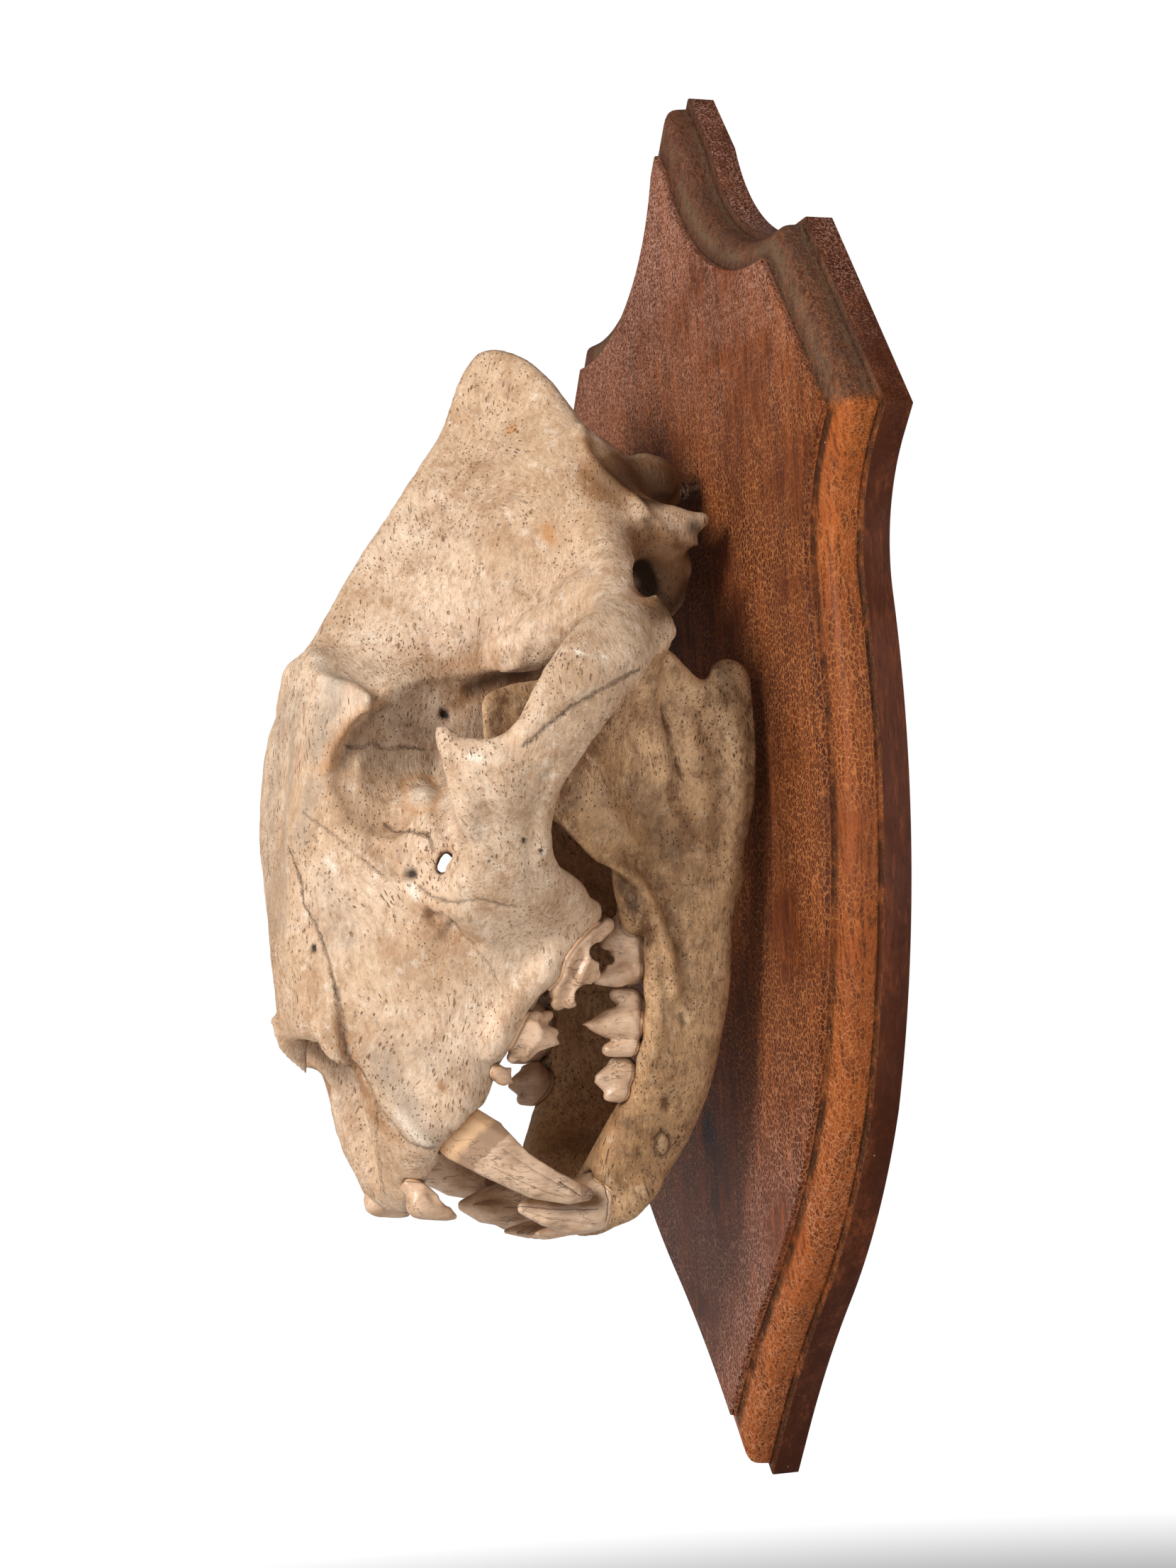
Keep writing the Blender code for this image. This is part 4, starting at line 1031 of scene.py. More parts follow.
@dataclass
class Cranium(Sculpture):
    """The skull's upper part, one bone."""

    voxel_mm: float = 1.68
    lumps_mm: Sequence[Point] = ((11, 0.9), (3.5, 0.35))
    chains: Sequence[Chain] = (
        # shelf between the braincase and the cheek arch's root
        add((835, 848, 72, 13), (800, 878, 62, 13), (760, 903, 52, 12), (722, 918, 44, 9)),
        # rear lip of the arch's root, over the jaw's joint
        add((905, 852, 93, 7), (926, 872, 97, 6), (940, 892, 97, 4.5)),
        add((900, 880, 98, 7), (922, 905, 98, 6)),
        # process of the cheek bone behind the eye
        add((662, 1098, 102, 7.5), (646, 1070, 101, 6.5), (633, 1048, 100, 5),
            (624, 1034, 99, 3.7)),
        add((660, 1100, 102, 7.2), (660, 1122, 101, 6.5), (662, 1142, 99, 6),
            (667, 1162, 96, 5.5)),
        # edge of the sockets of the cheek teeth
        add((830, 1286, 66, 6), (801, 1315, 66, 6), (778, 1345, 65, 6), (771, 1370, 64, 6),
            (757, 1385, 62, 5.5), (745, 1398, 61, 5), (729, 1418, 60, 5), (718, 1440, 59, 5),
            (708, 1462, 58, 5), (700, 1484, 56, 4.5)),
        # ledge behind the eye
        add((548, 978, 32, 6), (580, 955, 28, 8), (630, 944, 27, 8), (690, 938, 30, 8),
            (735, 930, 34, 8)),
        # knuckle, broad and rounded, and the bone between it and the crest
        add((892, 686, 30, 11), (908, 682, 28, 13), (918, 684, 28, 12)),
        add((838, 640, 8, 8), (868, 668, 14, 9), (880, 700, 30, 10)),
        # process behind the ear, a plate with two points
        add((895, 722, 54, 7), (930, 735, 55, 5.5), (960, 738, 56, 5), (983, 736, 56, 4.2),
            (992, 732, 56, 3.6)),
        add((915, 745, 54, 6), (948, 758, 55, 5), (970, 763, 56, 3.4), (985, 769, 56, 1.6)),
        add((960, 738, 56, 5), (973, 750, 56, 3.6), (970, 763, 56, 3.4), hull=True),
        # ear bulla
        add((930, 800, 42, 9), (945, 800, 42, 9.5)),
        # swelling of the upper jaw behind the last tooth
        add((772, 1235, 84, 6), (800, 1262, 74, 7.5), (818, 1288, 67, 6.5)),
        # nasal bones' tips
        add((440, 1443, 21, 2.2), (476, 1425, 28, 2.5), (465, 1490, 24, 1.8),
            (487, 1502, 26, 1.7), hull=True),
        add((386, 1438, -4, 2), (428, 1445, -8, 2), (398, 1480, -7, 1.8), (432, 1513, -12, 1.5),
            hull=True, mirrored=False),
        # eye socket
        cut((528, 1032, 45, 9), (499, 1060, 49, 10), (492, 1095, 50, 11), (512, 1130, 52, 11),
            (545, 1150, 52, 10)),
        # gap between the braincase and the arch
        cut((655, 972, 28, 5), (690, 964, 26, 6), (735, 962, 26, 6)),
        # behind the ear's rim
        cut((926, 772, 66, 8), (910, 793, 66, 9), (906, 815, 68, 10), (920, 838, 70, 9)),
        through(74, 104, (911, 800, 6)),
        through(74, 104, (911, 822, 6)),
        # canal under the eye
        cut((662, 1332, 76, 5), (640, 1316, 71, 5.5), (612, 1297, 63, 4.4)),
        # thin floor of the eye socket, broken through
        through(96, -125, (631, 1211, 3.2), mirrored=False),
        through(96, -125, (623, 1226, 2.8), mirrored=False),
    )
    forms: Sequence[Stroke] = (
        draw(4, 1.8, RUST, 0.75, 532, 992, 514, 1000, 498, 1014, 481, 1034, 467, 1056, 461, 1082),
        draw(8, 1.2, RUST, 0.5, 500, 972, 526, 984),
        draw(8, 0.5, CHALK, 0.3, 462, 962, 490, 972, 518, 985),
        bend(3.2, 1.3, 530, 984, 560, 966, 600, 957, 650, 950, 700, 943, 740, 934),
        draw(6, -1.2, GREY, 0.6, 448, 935, 480, 952, 512, 968),
        draw(8.5, 2, CHALK, 0.5, 590, 1120, 597, 1124),
        draw(5, -2, BROWN, 0.6, 528, 1192, 545, 1212, 562, 1228),
        bend(4.5, 1.6, 628, 1062, 639, 1110, 648, 1170, 647, 1203, 636, 1224),
        bend(6, -1.5, 614, 1070, 622, 1120, 628, 1170),
        bend(2.6, -0.9, 775, 1087, 761, 1117, 751, 1157, 748, 1207, 750, 1257),
        bend(5, 1, 795, 1085, 780, 1120, 770, 1160, 768, 1205),
        bend(9, 1.4, 745, 1030, 790, 985, 850, 945, 900, 925),
        bend(6, 1.6, 578, 1260, 612, 1274, 655, 1292, 695, 1325),
        bend(15, 1.5, 700, 1440, 660, 1520, 640, 1585),
        bend(4, 1.2, 751, 880, 742, 905, 730, 935),
        bend(16, -2, 640, 880, 690, 890),
        bend(12, -1.5, 600, 905, 560, 925),
        bend(3, 1, 492, 1503, 508, 1530, 520, 1556, 530, 1600, 536, 1645, 543, 1680),
        bend(10, -1.2, 514, 756, 540, 700, 580, 640),
        bend(3.5, 1, 914, 758, 897, 776, 888, 798, 889, 819, 899, 838),
        bend(3.5, 1.2, 892, 705, 912, 726, 932, 748, 950, 768),
        bend(4.5, 2.4, 818, 605, 829, 640, 851, 667, 885, 700, 910, 730),
    )
    details: Sequence[Stroke] = (
        # seams between bones, and cracks
        draw(2.2, -0.8, INK, 0.95, 408, 1200, 423, 1239, 428, 1275, 444, 1303, 455, 1330,
             462, 1353, 472, 1396, 485, 1445, 491, 1488),
        draw(2.6, -1.3, INK, 0.75, 473, 1414, 484, 1459, 498, 1501, 518, 1532, 529, 1560,
             549, 1583, 566, 1605, 588, 1619, 612, 1622),
        # painted shade on the shadowed left side of the ridge between the upper jaw's bones
        draw(5, -0.8, BROWN, 1, 478, 1440, 491, 1500, 510, 1540, 530, 1580, 560, 1612),
        draw(1.8, -0.4, INK, 0.45, 529, 1565, 532, 1605, 535, 1645, 543, 1684),
        draw(2, -0.8, INK, 1, 745, 1047, 767, 1029, 800, 1001, 843, 976, 877, 957, 897, 947,
             910, 947),
        draw(1.8, -0.4, INK, 0.4, 432, 1150, 462, 1171, 489, 1194, 516, 1216, 548, 1239),
        draw(1.8, -0.5, INK, 0.6, 596, 1254, 618, 1268, 645, 1274, 680, 1269, 721, 1279),
        draw_left(1.8, -0.4, INK, 0.9, 495, 1053, 512, 1054, 525, 1048, 546, 1057, 570, 1053,
                  594, 1056),
        draw_left(2.4, -1, INK, 1, 548, 1166, 575, 1171, 603, 1178, 609, 1194, 632, 1206),
        draw_left(1.6, -0.3, INK, 0.35, 640, 1300, 690, 1360, 700, 1380),
        draw(1.8, -1.2, PAINTED_SHADE, 0.7, 474, 1396, 481, 1430, 486, 1460, 489, 1488, 493, 1506),
        # painted shade in the hollow at the edge of the nose opening
        draw(5.5, -1.6, BROWN, 1.8, 497, 1512, 503, 1530, 512, 1548),
        draw(12, 0, GREY, 0.5, 400, 1000, 385, 1100, 380, 1200, 385, 1300, 386, 1400),
        # painted shade in the trough of the canal under the eye
        draw(9, -1.5, BROWN, 0.9, 600, 1290, 628, 1308, 655, 1330),
        # small holes and hollows, with painted shade in them
        draw(2.8, -2.5, PAINTED_SHADE, 1.6, 627, 1006, 629, 1008),
        draw(1.8, -1.2, PAINTED_SHADE, 1.6, 442, 1337, 442, 1339),
        draw(2.8, -2.5, PAINTED_SHADE, 1.3, 574, 1231, 582, 1233),
        draw(1.3, -0.8, PAINTED_SHADE, 1.6, 741, 1185, 741, 1187),
        draw(1.3, -0.8, PAINTED_SHADE, 1.6, 761, 1200, 761, 1202),
        draw(8.5, -2.5, PAINTED_SHADE, 1.35, 903, 803, 908, 815, 914, 830),
        # painted shade in the ear's opening under its rim and on the bulla, with stains on the
        # bulla
        draw_left(7, -1, BROWN, 1.2, 908, 772, 925, 765, 945, 772),
        draw_left(17, 0, BROWN, 1.8, 915, 800, 935, 805, 955, 815, 945, 845, 930, 850),
        draw_left(9, 0, RUST, 0.45, 930, 770, 958, 790, 968, 815),
        # the knuckle browned and darkened: partly its own colour, partly painted shade
        draw(20, 0, BROWN, 3, 865, 672, 900, 680, 940, 685),
        draw(20, 0, PAINTED_SHADE, 0.74, 880, 676, 905, 676, 940, 682),
        draw_left(12, 0, BROWN, 1.7, 905, 765, 935, 774, 968, 790),
        draw_left(12, 0, PAINTED_SHADE, 0.42, 905, 765, 935, 774, 968, 790),
        draw_left(3.5, -1, PAINTED_SHADE, 0.5, 913, 735, 928, 760, 945, 776, 965, 774),
        draw(6, 0, PAINTED_SHADE, 0.85, 905, 704, 925, 708, 946, 702, 954, 690),
        # the plate below the crest browned, partly painted shade
        draw(12, -1, BROWN, 1.4, 838, 630, 850, 650, 868, 655),
        draw_left(15, 0, PAINTED_SHADE, 0.5, 905, 785, 930, 800, 955, 815, 940, 845),
        draw_left(9, 0, PAINTED_SHADE, 0.75, 965, 825, 950, 855, 930, 862),
        draw_left(6, 0, PAINTED_SHADE, 0.8, 978, 745, 984, 756),
        # painted shadow just inside the eye socket's rim
        draw(3.4, 0, PAINTED_SHADE, 0.4, 545, 998, 522, 1012, 506, 1030, 493, 1054, 485, 1080),
        # painted shade at the lower end of the canal under the eye
        draw(5, -1, BROWN, 1, 636, 1312, 655, 1326, 664, 1334),
        draw_left(6, -1.5, PAINTED_SHADE, 0.75, 668, 972, 690, 962, 718, 957, 745, 955),
        # painted shade in the gap behind the eye
        draw(9, -1, BROWN, 1.4, 648, 984, 665, 976, 690, 972, 735, 970),
        # small openings in the eye socket with painted shade in them, then patches partly stained
        # and partly painted shade, stains of grey and rust, and chalky chips
        draw(3.4, -1, PAINTED_SHADE, 1, 726, 958, 742, 953),
        draw(2.6, -0.6, PAINTED_SHADE, 0.9, 690, 963, 694, 966),
        draw(14, 0, BROWN, 0.45, 593, 623, 640, 660, 690, 700),
        draw(9, 0, BROWN, 0.6, 500, 835, 540, 850, 570, 868),
        draw(10, 0, BROWN, 0.4, 604, 733, 650, 745, 703, 755),
        draw(9, 0, BROWN, 0.5, 560, 928, 620, 938, 700, 930),
        draw(14, 0, GREY, 0.35, 560, 1480, 620, 1500, 690, 1500),
        draw(2.2, -0.5, RUST, 0.8, 570, 1100, 572, 1135, 590, 1148, 612, 1140, 620, 1120,
             610, 1097, 590, 1092, 570, 1100),
        draw(8, 0, RUST, 0.4, 655, 935, 700, 940),
        draw(13, 0, GREY, 0.8, 480, 960, 462, 1000, 448, 1050),
        draw(12, 0, GREY, 0.35, 545, 1002, 575, 1008, 605, 1018),
        draw(10, 0, GREY, 0.5, 520, 1068, 570, 1078),
        draw(8, 0, GREY, 0.6, 640, 500, 600, 580, 555, 660, 500, 760, 460, 850),
        draw(9, 0, GREY, 0.7, 440, 1110, 430, 1150, 425, 1180),
        draw(14, 0, GREY, 0.35, 460, 1250, 480, 1320),
        draw(12, 0, GREY, 0.8, 540, 1500, 570, 1560, 600, 1600),
        draw(2.6, 0, BROWN, 2, 623, 1532, 625, 1534),
        draw(2.6, 0, RUST, 2, 721, 604, 722, 607),
        draw(3.6, 0, RUST, 1.4, 771, 745, 776, 760),
        draw(3.5, 0.6, CHALK, 0.6, 560, 1570, 585, 1600, 605, 1615),
        draw(3, 0, CHALK, 0.9, 462, 1215, 472, 1225),
        draw(3, 0, CHALK, 1.2, 579, 1250, 586, 1262),
        draw(2.4, 0, CHALK, 1.5, 663, 1066, 676, 1069),
        draw(1.6, 0, CHALK, 1.6, 814, 919, 819, 921),
        draw(1.2, 0, CHALK, 1.6, 850, 924, 852, 926),
    )

    def build(self) -> Piece:
        """Make the fine bone."""
        return self.sculpt("cranium_bone", both=True)


@dataclass
class Jaw(Sculpture):
    """The lower jaw's left half, and its right half as a mirrored copy."""

    chains: Sequence[Chain] = (
        add((938, 935, 80, 5), (965, 965, 79, 5.5), (985, 990, 78, 6)),
        add((880, 1220, 74, 5), (884, 1245, 72, 6), (891, 1272, 70, 6), (897, 1300, 67, 6)),
        add((921, 1335, 66, 4.5), (924, 1365, 65, 4.5), (924, 1392, 64, 5.2),
            (927, 1420, 62, 4.5), (920, 1445, 61, 4.5), (924, 1465, 60, 4.5),
            (914, 1492, 57, 4.8), (910, 1520, 54, 4.2), (896, 1553, 51, 4)),
        add((912, 1664, 38, 7), (894, 1682, 43, 8.2), (879, 1697, 43, 8), (858, 1709, 37, 7),
            (838, 1727, 22, 5)),
        add((862, 1661, 46, 3.4), (868, 1676, 46, 3.4)),
        through(98, 70, (672, 960, 7)),
        cut((940, 880, 106, 8), (945, 905, 106, 7)),
        through(104, 60, (1079, 950, 6), (1088, 1050, 6)),
        through(104, 60, (1088, 1050, 6), (1086, 1130, 6)),
        through(104, 60, (1086, 1130, 6), (1068, 1215, 6)),
        through(68, 106, (988, 928, 3.6), (991, 950, 3)),
    )
    nick: Chain = through(-60, -85, (625, 1218, 4.5))
    details: Sequence[Stroke] = (
        bend(4.5, 3.4, 790, 1150, 820, 1180, 850, 1207, 880, 1228, 907, 1252, 921, 1278,
             932, 1310, 944, 1342, 950, 1400),
        # painted shade in the trough before the ramus's ridge, and browned along it
        draw(4.5, -2.2, PAINTED_SHADE, 0.45, 858, 1226, 874, 1240, 888, 1258, 898, 1282),
        draw(9, -0.6, BROWN, 1.1, 715, 975, 700, 1000, 705, 1040),
        draw(8, -0.8, BROWN, 1.5, 850, 1225, 880, 1250, 900, 1285, 908, 1320),
        draw(7, -1.6, BROWN, 1.1, 880, 1205, 912, 1225, 936, 1260, 950, 1310, 962, 1360),
        # painted shadow of the cheek arch on the ramus
        draw(9, 0, BROWN, 1.5, 862, 975, 850, 1020, 825, 1070, 800, 1120),
        # a lighter patch on the bulge: partly chalky bone, partly a painted highlight where the
        # light falls
        draw(9, 1.5, CHALK, 0.2, 825, 1110, 848, 1145, 868, 1180),
        draw(2.4, 0, INK, 0.25, 935, 1000, 945, 1035, 951, 1065, 963, 1095),
        draw(2.4, -0.6, BROWN, 1.4, 935, 1000, 945, 1035, 951, 1065, 963, 1095),
        bend(5, 1.3, 918, 990, 928, 1030, 934, 1070, 944, 1100),
        draw(10, -0.6, GREY, 0.5, 905, 1115, 925, 1155, 950, 1200),
        draw(7, -0.4, BROWN, 1.2, 950, 1110, 962, 1150, 975, 1190),
        bend(4.5, 0.7, 1018, 945, 1036, 1000, 1044, 1060, 1044, 1120, 1034, 1190, 1026, 1250),
        # painted shade in the furrow beside the rear rim
        draw(8, -0.8, BROWN, 0.7, 992, 1010, 1008, 1060, 1016, 1120, 1012, 1180, 1004, 1240),
        draw(7, 0, BROWN, 1, 1006, 985, 1030, 985),
        draw(6, 0, BROWN, 1, 1056, 1000, 1060, 1080, 1054, 1160, 1040, 1260, 1032, 1360),
        bend(3, 0.9, 940, 925, 960, 958, 982, 975, 1002, 966, 1008, 942),
        # browned, partly painted shadow from the arch
        draw(8, 0, BROWN, 0.9, 870, 975, 905, 990, 925, 1040),
        draw(7, 0, GREY, 0.8, 1008, 925, 1022, 945, 1030, 985),
        draw(22, -2.6, BROWN, 0.55, 880, 1000, 910, 1080, 925, 1150, 935, 1215),
        bend(7, 1.5, 945, 930, 962, 1000, 985, 1080),
        bend(7, 1.2, 850, 1090, 875, 1150, 900, 1200),
        draw(9, 0, BROWN, 0.9, 900, 1110, 930, 1170, 950, 1240),
        draw(6, 0.8, BROWN, 0.5, 1040, 990, 1045, 1100, 1035, 1200, 1010, 1300),
        draw(12, 0, BROWN, 0.4, 980, 1330, 960, 1450, 940, 1560),
        # painted shade in the small openings of the jaw
        draw(1.7, -1.2, PAINTED_SHADE, 0.7, 963, 1434, 964, 1444),
        draw(2.8, -1.8, BROWN, 1.3, 940, 1553, 941, 1564),
        draw(1.8, -1.4, BROWN, 1.3, 902, 1622, 903, 1631),
        draw(2.4, -0.4, PAINTED_SHADE, 0.4, 884, 1582, 888, 1590),
        draw(6, 0, BROWN, 0.8, 845, 1560, 870, 1575, 890, 1590),
        draw(3.6, 1, CHALK, 0.4, 935, 1606, 935, 1622),
        draw(1.8, -0.9, INK, 1, 935, 1596, 945, 1605, 945, 1623, 935, 1633, 925, 1624, 925, 1605,
             935, 1596),
    )

    def build(self) -> dict[str, Piece]:
        """Make both halves.

        Returns:
            The pieces by side.
        """
        left = self.sculpt("jaw_bone_left", both=False)
        right = mirrored_copy(left, "jaw_bone_right")
        tool = self.nick.build()[0]
        apply_modifier(right, "BOOLEAN", operation="DIFFERENCE", solver="MANIFOLD", object=tool)
        bpy.data.objects.remove(tool)
        return {"left": left, "right": right}


@dataclass
class Tooth(Sculpture):
    """A kind of tooth: the left one finely modelled over its plain solid, and its twin."""

    voxel_mm: float = 0.6
    smoothing: int = 5
    lumps_mm: Sequence[Point] = ((4, 0.25),)
    name: str = ""
    band_mm: float = 1.9

    def build(self, bones: BVHTree) -> list[Piece]:
        """Make the left tooth and its mirrored copy.

        Args:
            bones: the surface of the bones it stands in.

        Returns:
            The two pieces.
        """
        left = self.sculpt(f"{self.name}_left_fine", both=False)
        values = [max(0.0, 1.0 - bones.find_nearest(v.co)[3] / (self.band_mm * MM))
                  for v in left.data.vertices]
        keep(left, "root", values)
        return [left, mirrored_copy(left, f"{self.name}_right_fine")]


@dataclass
class Dentition:
    """All the teeth, with what each kind has beyond its plain solid."""

    # How wide a band round the bone's edge is stained like a root, where it isn't the usual
    bands_mm: dict[str, float] = field(
        default_factory=lambda: {"upper_canine": 17, "lower_canine": 0.9})
    kinds: dict[str, Sequence[Chain | Stroke]] = field(default_factory=lambda: {
        "upper_canine": (
            through(64, 24, (724, 1578, 5), (757, 1612, 5)),
            through(64, 24, (757, 1612, 5), (793, 1635, 5), (845, 1661, 5)),
            add((795, 1672, 40, 3.4), (831, 1681, 40, 1.1)),
            through(46, 40, (786, 1672, 0.5), (840, 1694, 0.5)),
            draw(1.4, -0.5, INK, 0.5, 715, 1625, 760, 1655, 800, 1678),
            draw(1.2, -0.4, INK, 0.5, 700, 1650, 745, 1672, 790, 1688),
            draw(1.2, -0.7, INK, 1, 793, 1669, 814, 1684)),
        "upper_premolar_4": (
            add((856, 1305, 64, 3.2), (838, 1320, 64, 3.8), (815, 1345, 63, 4.5)),
            add((836, 1373, 60, 3.4), (812, 1380, 60, 5), (790, 1398, 60, 4.5)),
            add((796, 1408, 60, 3.4), (787, 1417, 60, 2.6)),
            through(85, 45, (845, 1343, 3.8)),
            through(85, 45, (829, 1407, 5.2)),
            through(85, 45, (857, 1365, 3.4)),
            bend(3.2, 1.5, 854, 1303, 835, 1315, 815, 1333, 803, 1352, 797, 1374, 786, 1396,
                 783, 1415),
            bend(3.4, -1.5, 838, 1333, 822, 1350, 812, 1368),
            bend(2.4, -0.9, 792, 1378, 806, 1392, 803, 1408)),
        "upper_premolar_3": (
            add((782, 1456, 56, 1.8), (762, 1462, 56, 5), (745, 1462, 56, 4.5)),
            add((774, 1432, 56, 2), (760, 1440, 56, 3.5)),
            add((735, 1482, 56, 3), (722, 1492, 56, 2.2)),
            bend(3, 0.8, 783, 1458, 764, 1455, 750, 1445),
            bend(2.6, -0.7, 768, 1440, 755, 1435)),
        "upper_premolar_2": (
            add((700, 1512, 52, 3.4), (710, 1520, 52, 3.4)),
            through(66, 38, (742, 1514, 6))),
        "upper_incisor_3": (
            add((594, 1698, 27, 6.2), (614, 1706, 28, 4.4), (630, 1714, 29, 2.4),
                (641, 1716, 29, 1.4)),
            through(45, 12, (641, 1680, 6.6)),
            bend(3, -0.6, 605, 1678, 615, 1695)),
        "lower_molar_1": (
            add((880, 1306, 58, 5.5), (884, 1326, 58, 6), (866, 1323, 57, 4.5),
                (855, 1332, 56, 2.4), hull=True),
            add((896, 1366, 58, 5), (872, 1377, 57, 4.6), (843, 1383, 56, 2), hull=True),
            through(80, 45, (860, 1354, 1.9)),
            bend(2, -0.7, 874, 1354, 890, 1360, 896, 1372)),
        "lower_premolar_4": (
            add((890, 1410, 54, 4.8), (869, 1403, 54, 2.8)),
            add((888, 1443, 54, 8), (862, 1444, 54, 6), (837, 1446, 54, 2.4), hull=True),
            add((888, 1474, 54, 4.8), (859, 1481, 54, 2.8)),
            bend(3, 0.5, 840, 1446, 865, 1442, 888, 1435),
            bend(2.2, -0.6, 908, 1418, 903, 1441, 906, 1470)),
        "lower_premolar_3": (
            add((880, 1512, 49, 6), (860, 1517, 49, 4), (845, 1520, 49, 1.8)),
            add((874, 1538, 49, 5), (859, 1546, 49, 2.4)),
            add((880, 1502, 49, 4), (864, 1500, 49, 2)),
            cut((846, 1533, 60, 1), (858, 1531, 57, 0.5))),
        "lower_canine": (
            add((854, 1690, 39, 9.5), (835, 1704, 37, 9.5), (805, 1714, 34, 8),
                (770, 1713, 30, 4.6), (736, 1706, 27, 1.8)),
            through(60, 5, (882, 1656, 5), (897, 1756, 9), (945, 1700, 9)),
            through(60, 5, (869, 1646, 4.2)),
            through(60, 5, (872, 1754, 5.2)),
            draw(1.3, -0.4, INK, 0.4, 740, 1708, 790, 1722, 830, 1728),
            draw(1.1, -0.3, INK, 0.9, 736, 1702, 790, 1707, 835, 1706),
            # painted shadow of the upper canine on this one
            draw(6, 0, BROWN, 1.1, 750, 1694, 800, 1698, 840, 1692),
            draw(1, -0.6, INK, 1, 826, 1653, 842, 1660, 853, 1674, 858, 1695, 856, 1718,
                 846, 1738)),
    })

    def build(self, nodes: dict[str, Piece], bones: BVHTree) -> dict[str, Piece]:
        """Make every tooth.

        Args:
            nodes: the CAD nodes by name.
            bones: the surface of the bones.

        Returns:
            The pieces by the name of the node each stands for.
        """
        made: dict[str, Piece] = {}
        for node_name, node in nodes.items():
            kind = node_name.removesuffix("_left")
            if kind == node_name or not kind.startswith(("upper_", "lower_")):
                continue
            work = self.kinds.get(kind, ())
            tooth = Tooth(node, name=kind, chains=[w for w in work if isinstance(w, Chain)],
                          details=[w for w in work if isinstance(w, Stroke)],
                          band_mm=self.bands_mm.get(kind, Tooth.band_mm))
            for side, piece in zip(SIDES, tooth.build(bones)):
                made[f"{kind}_{side}"] = piece
        return made


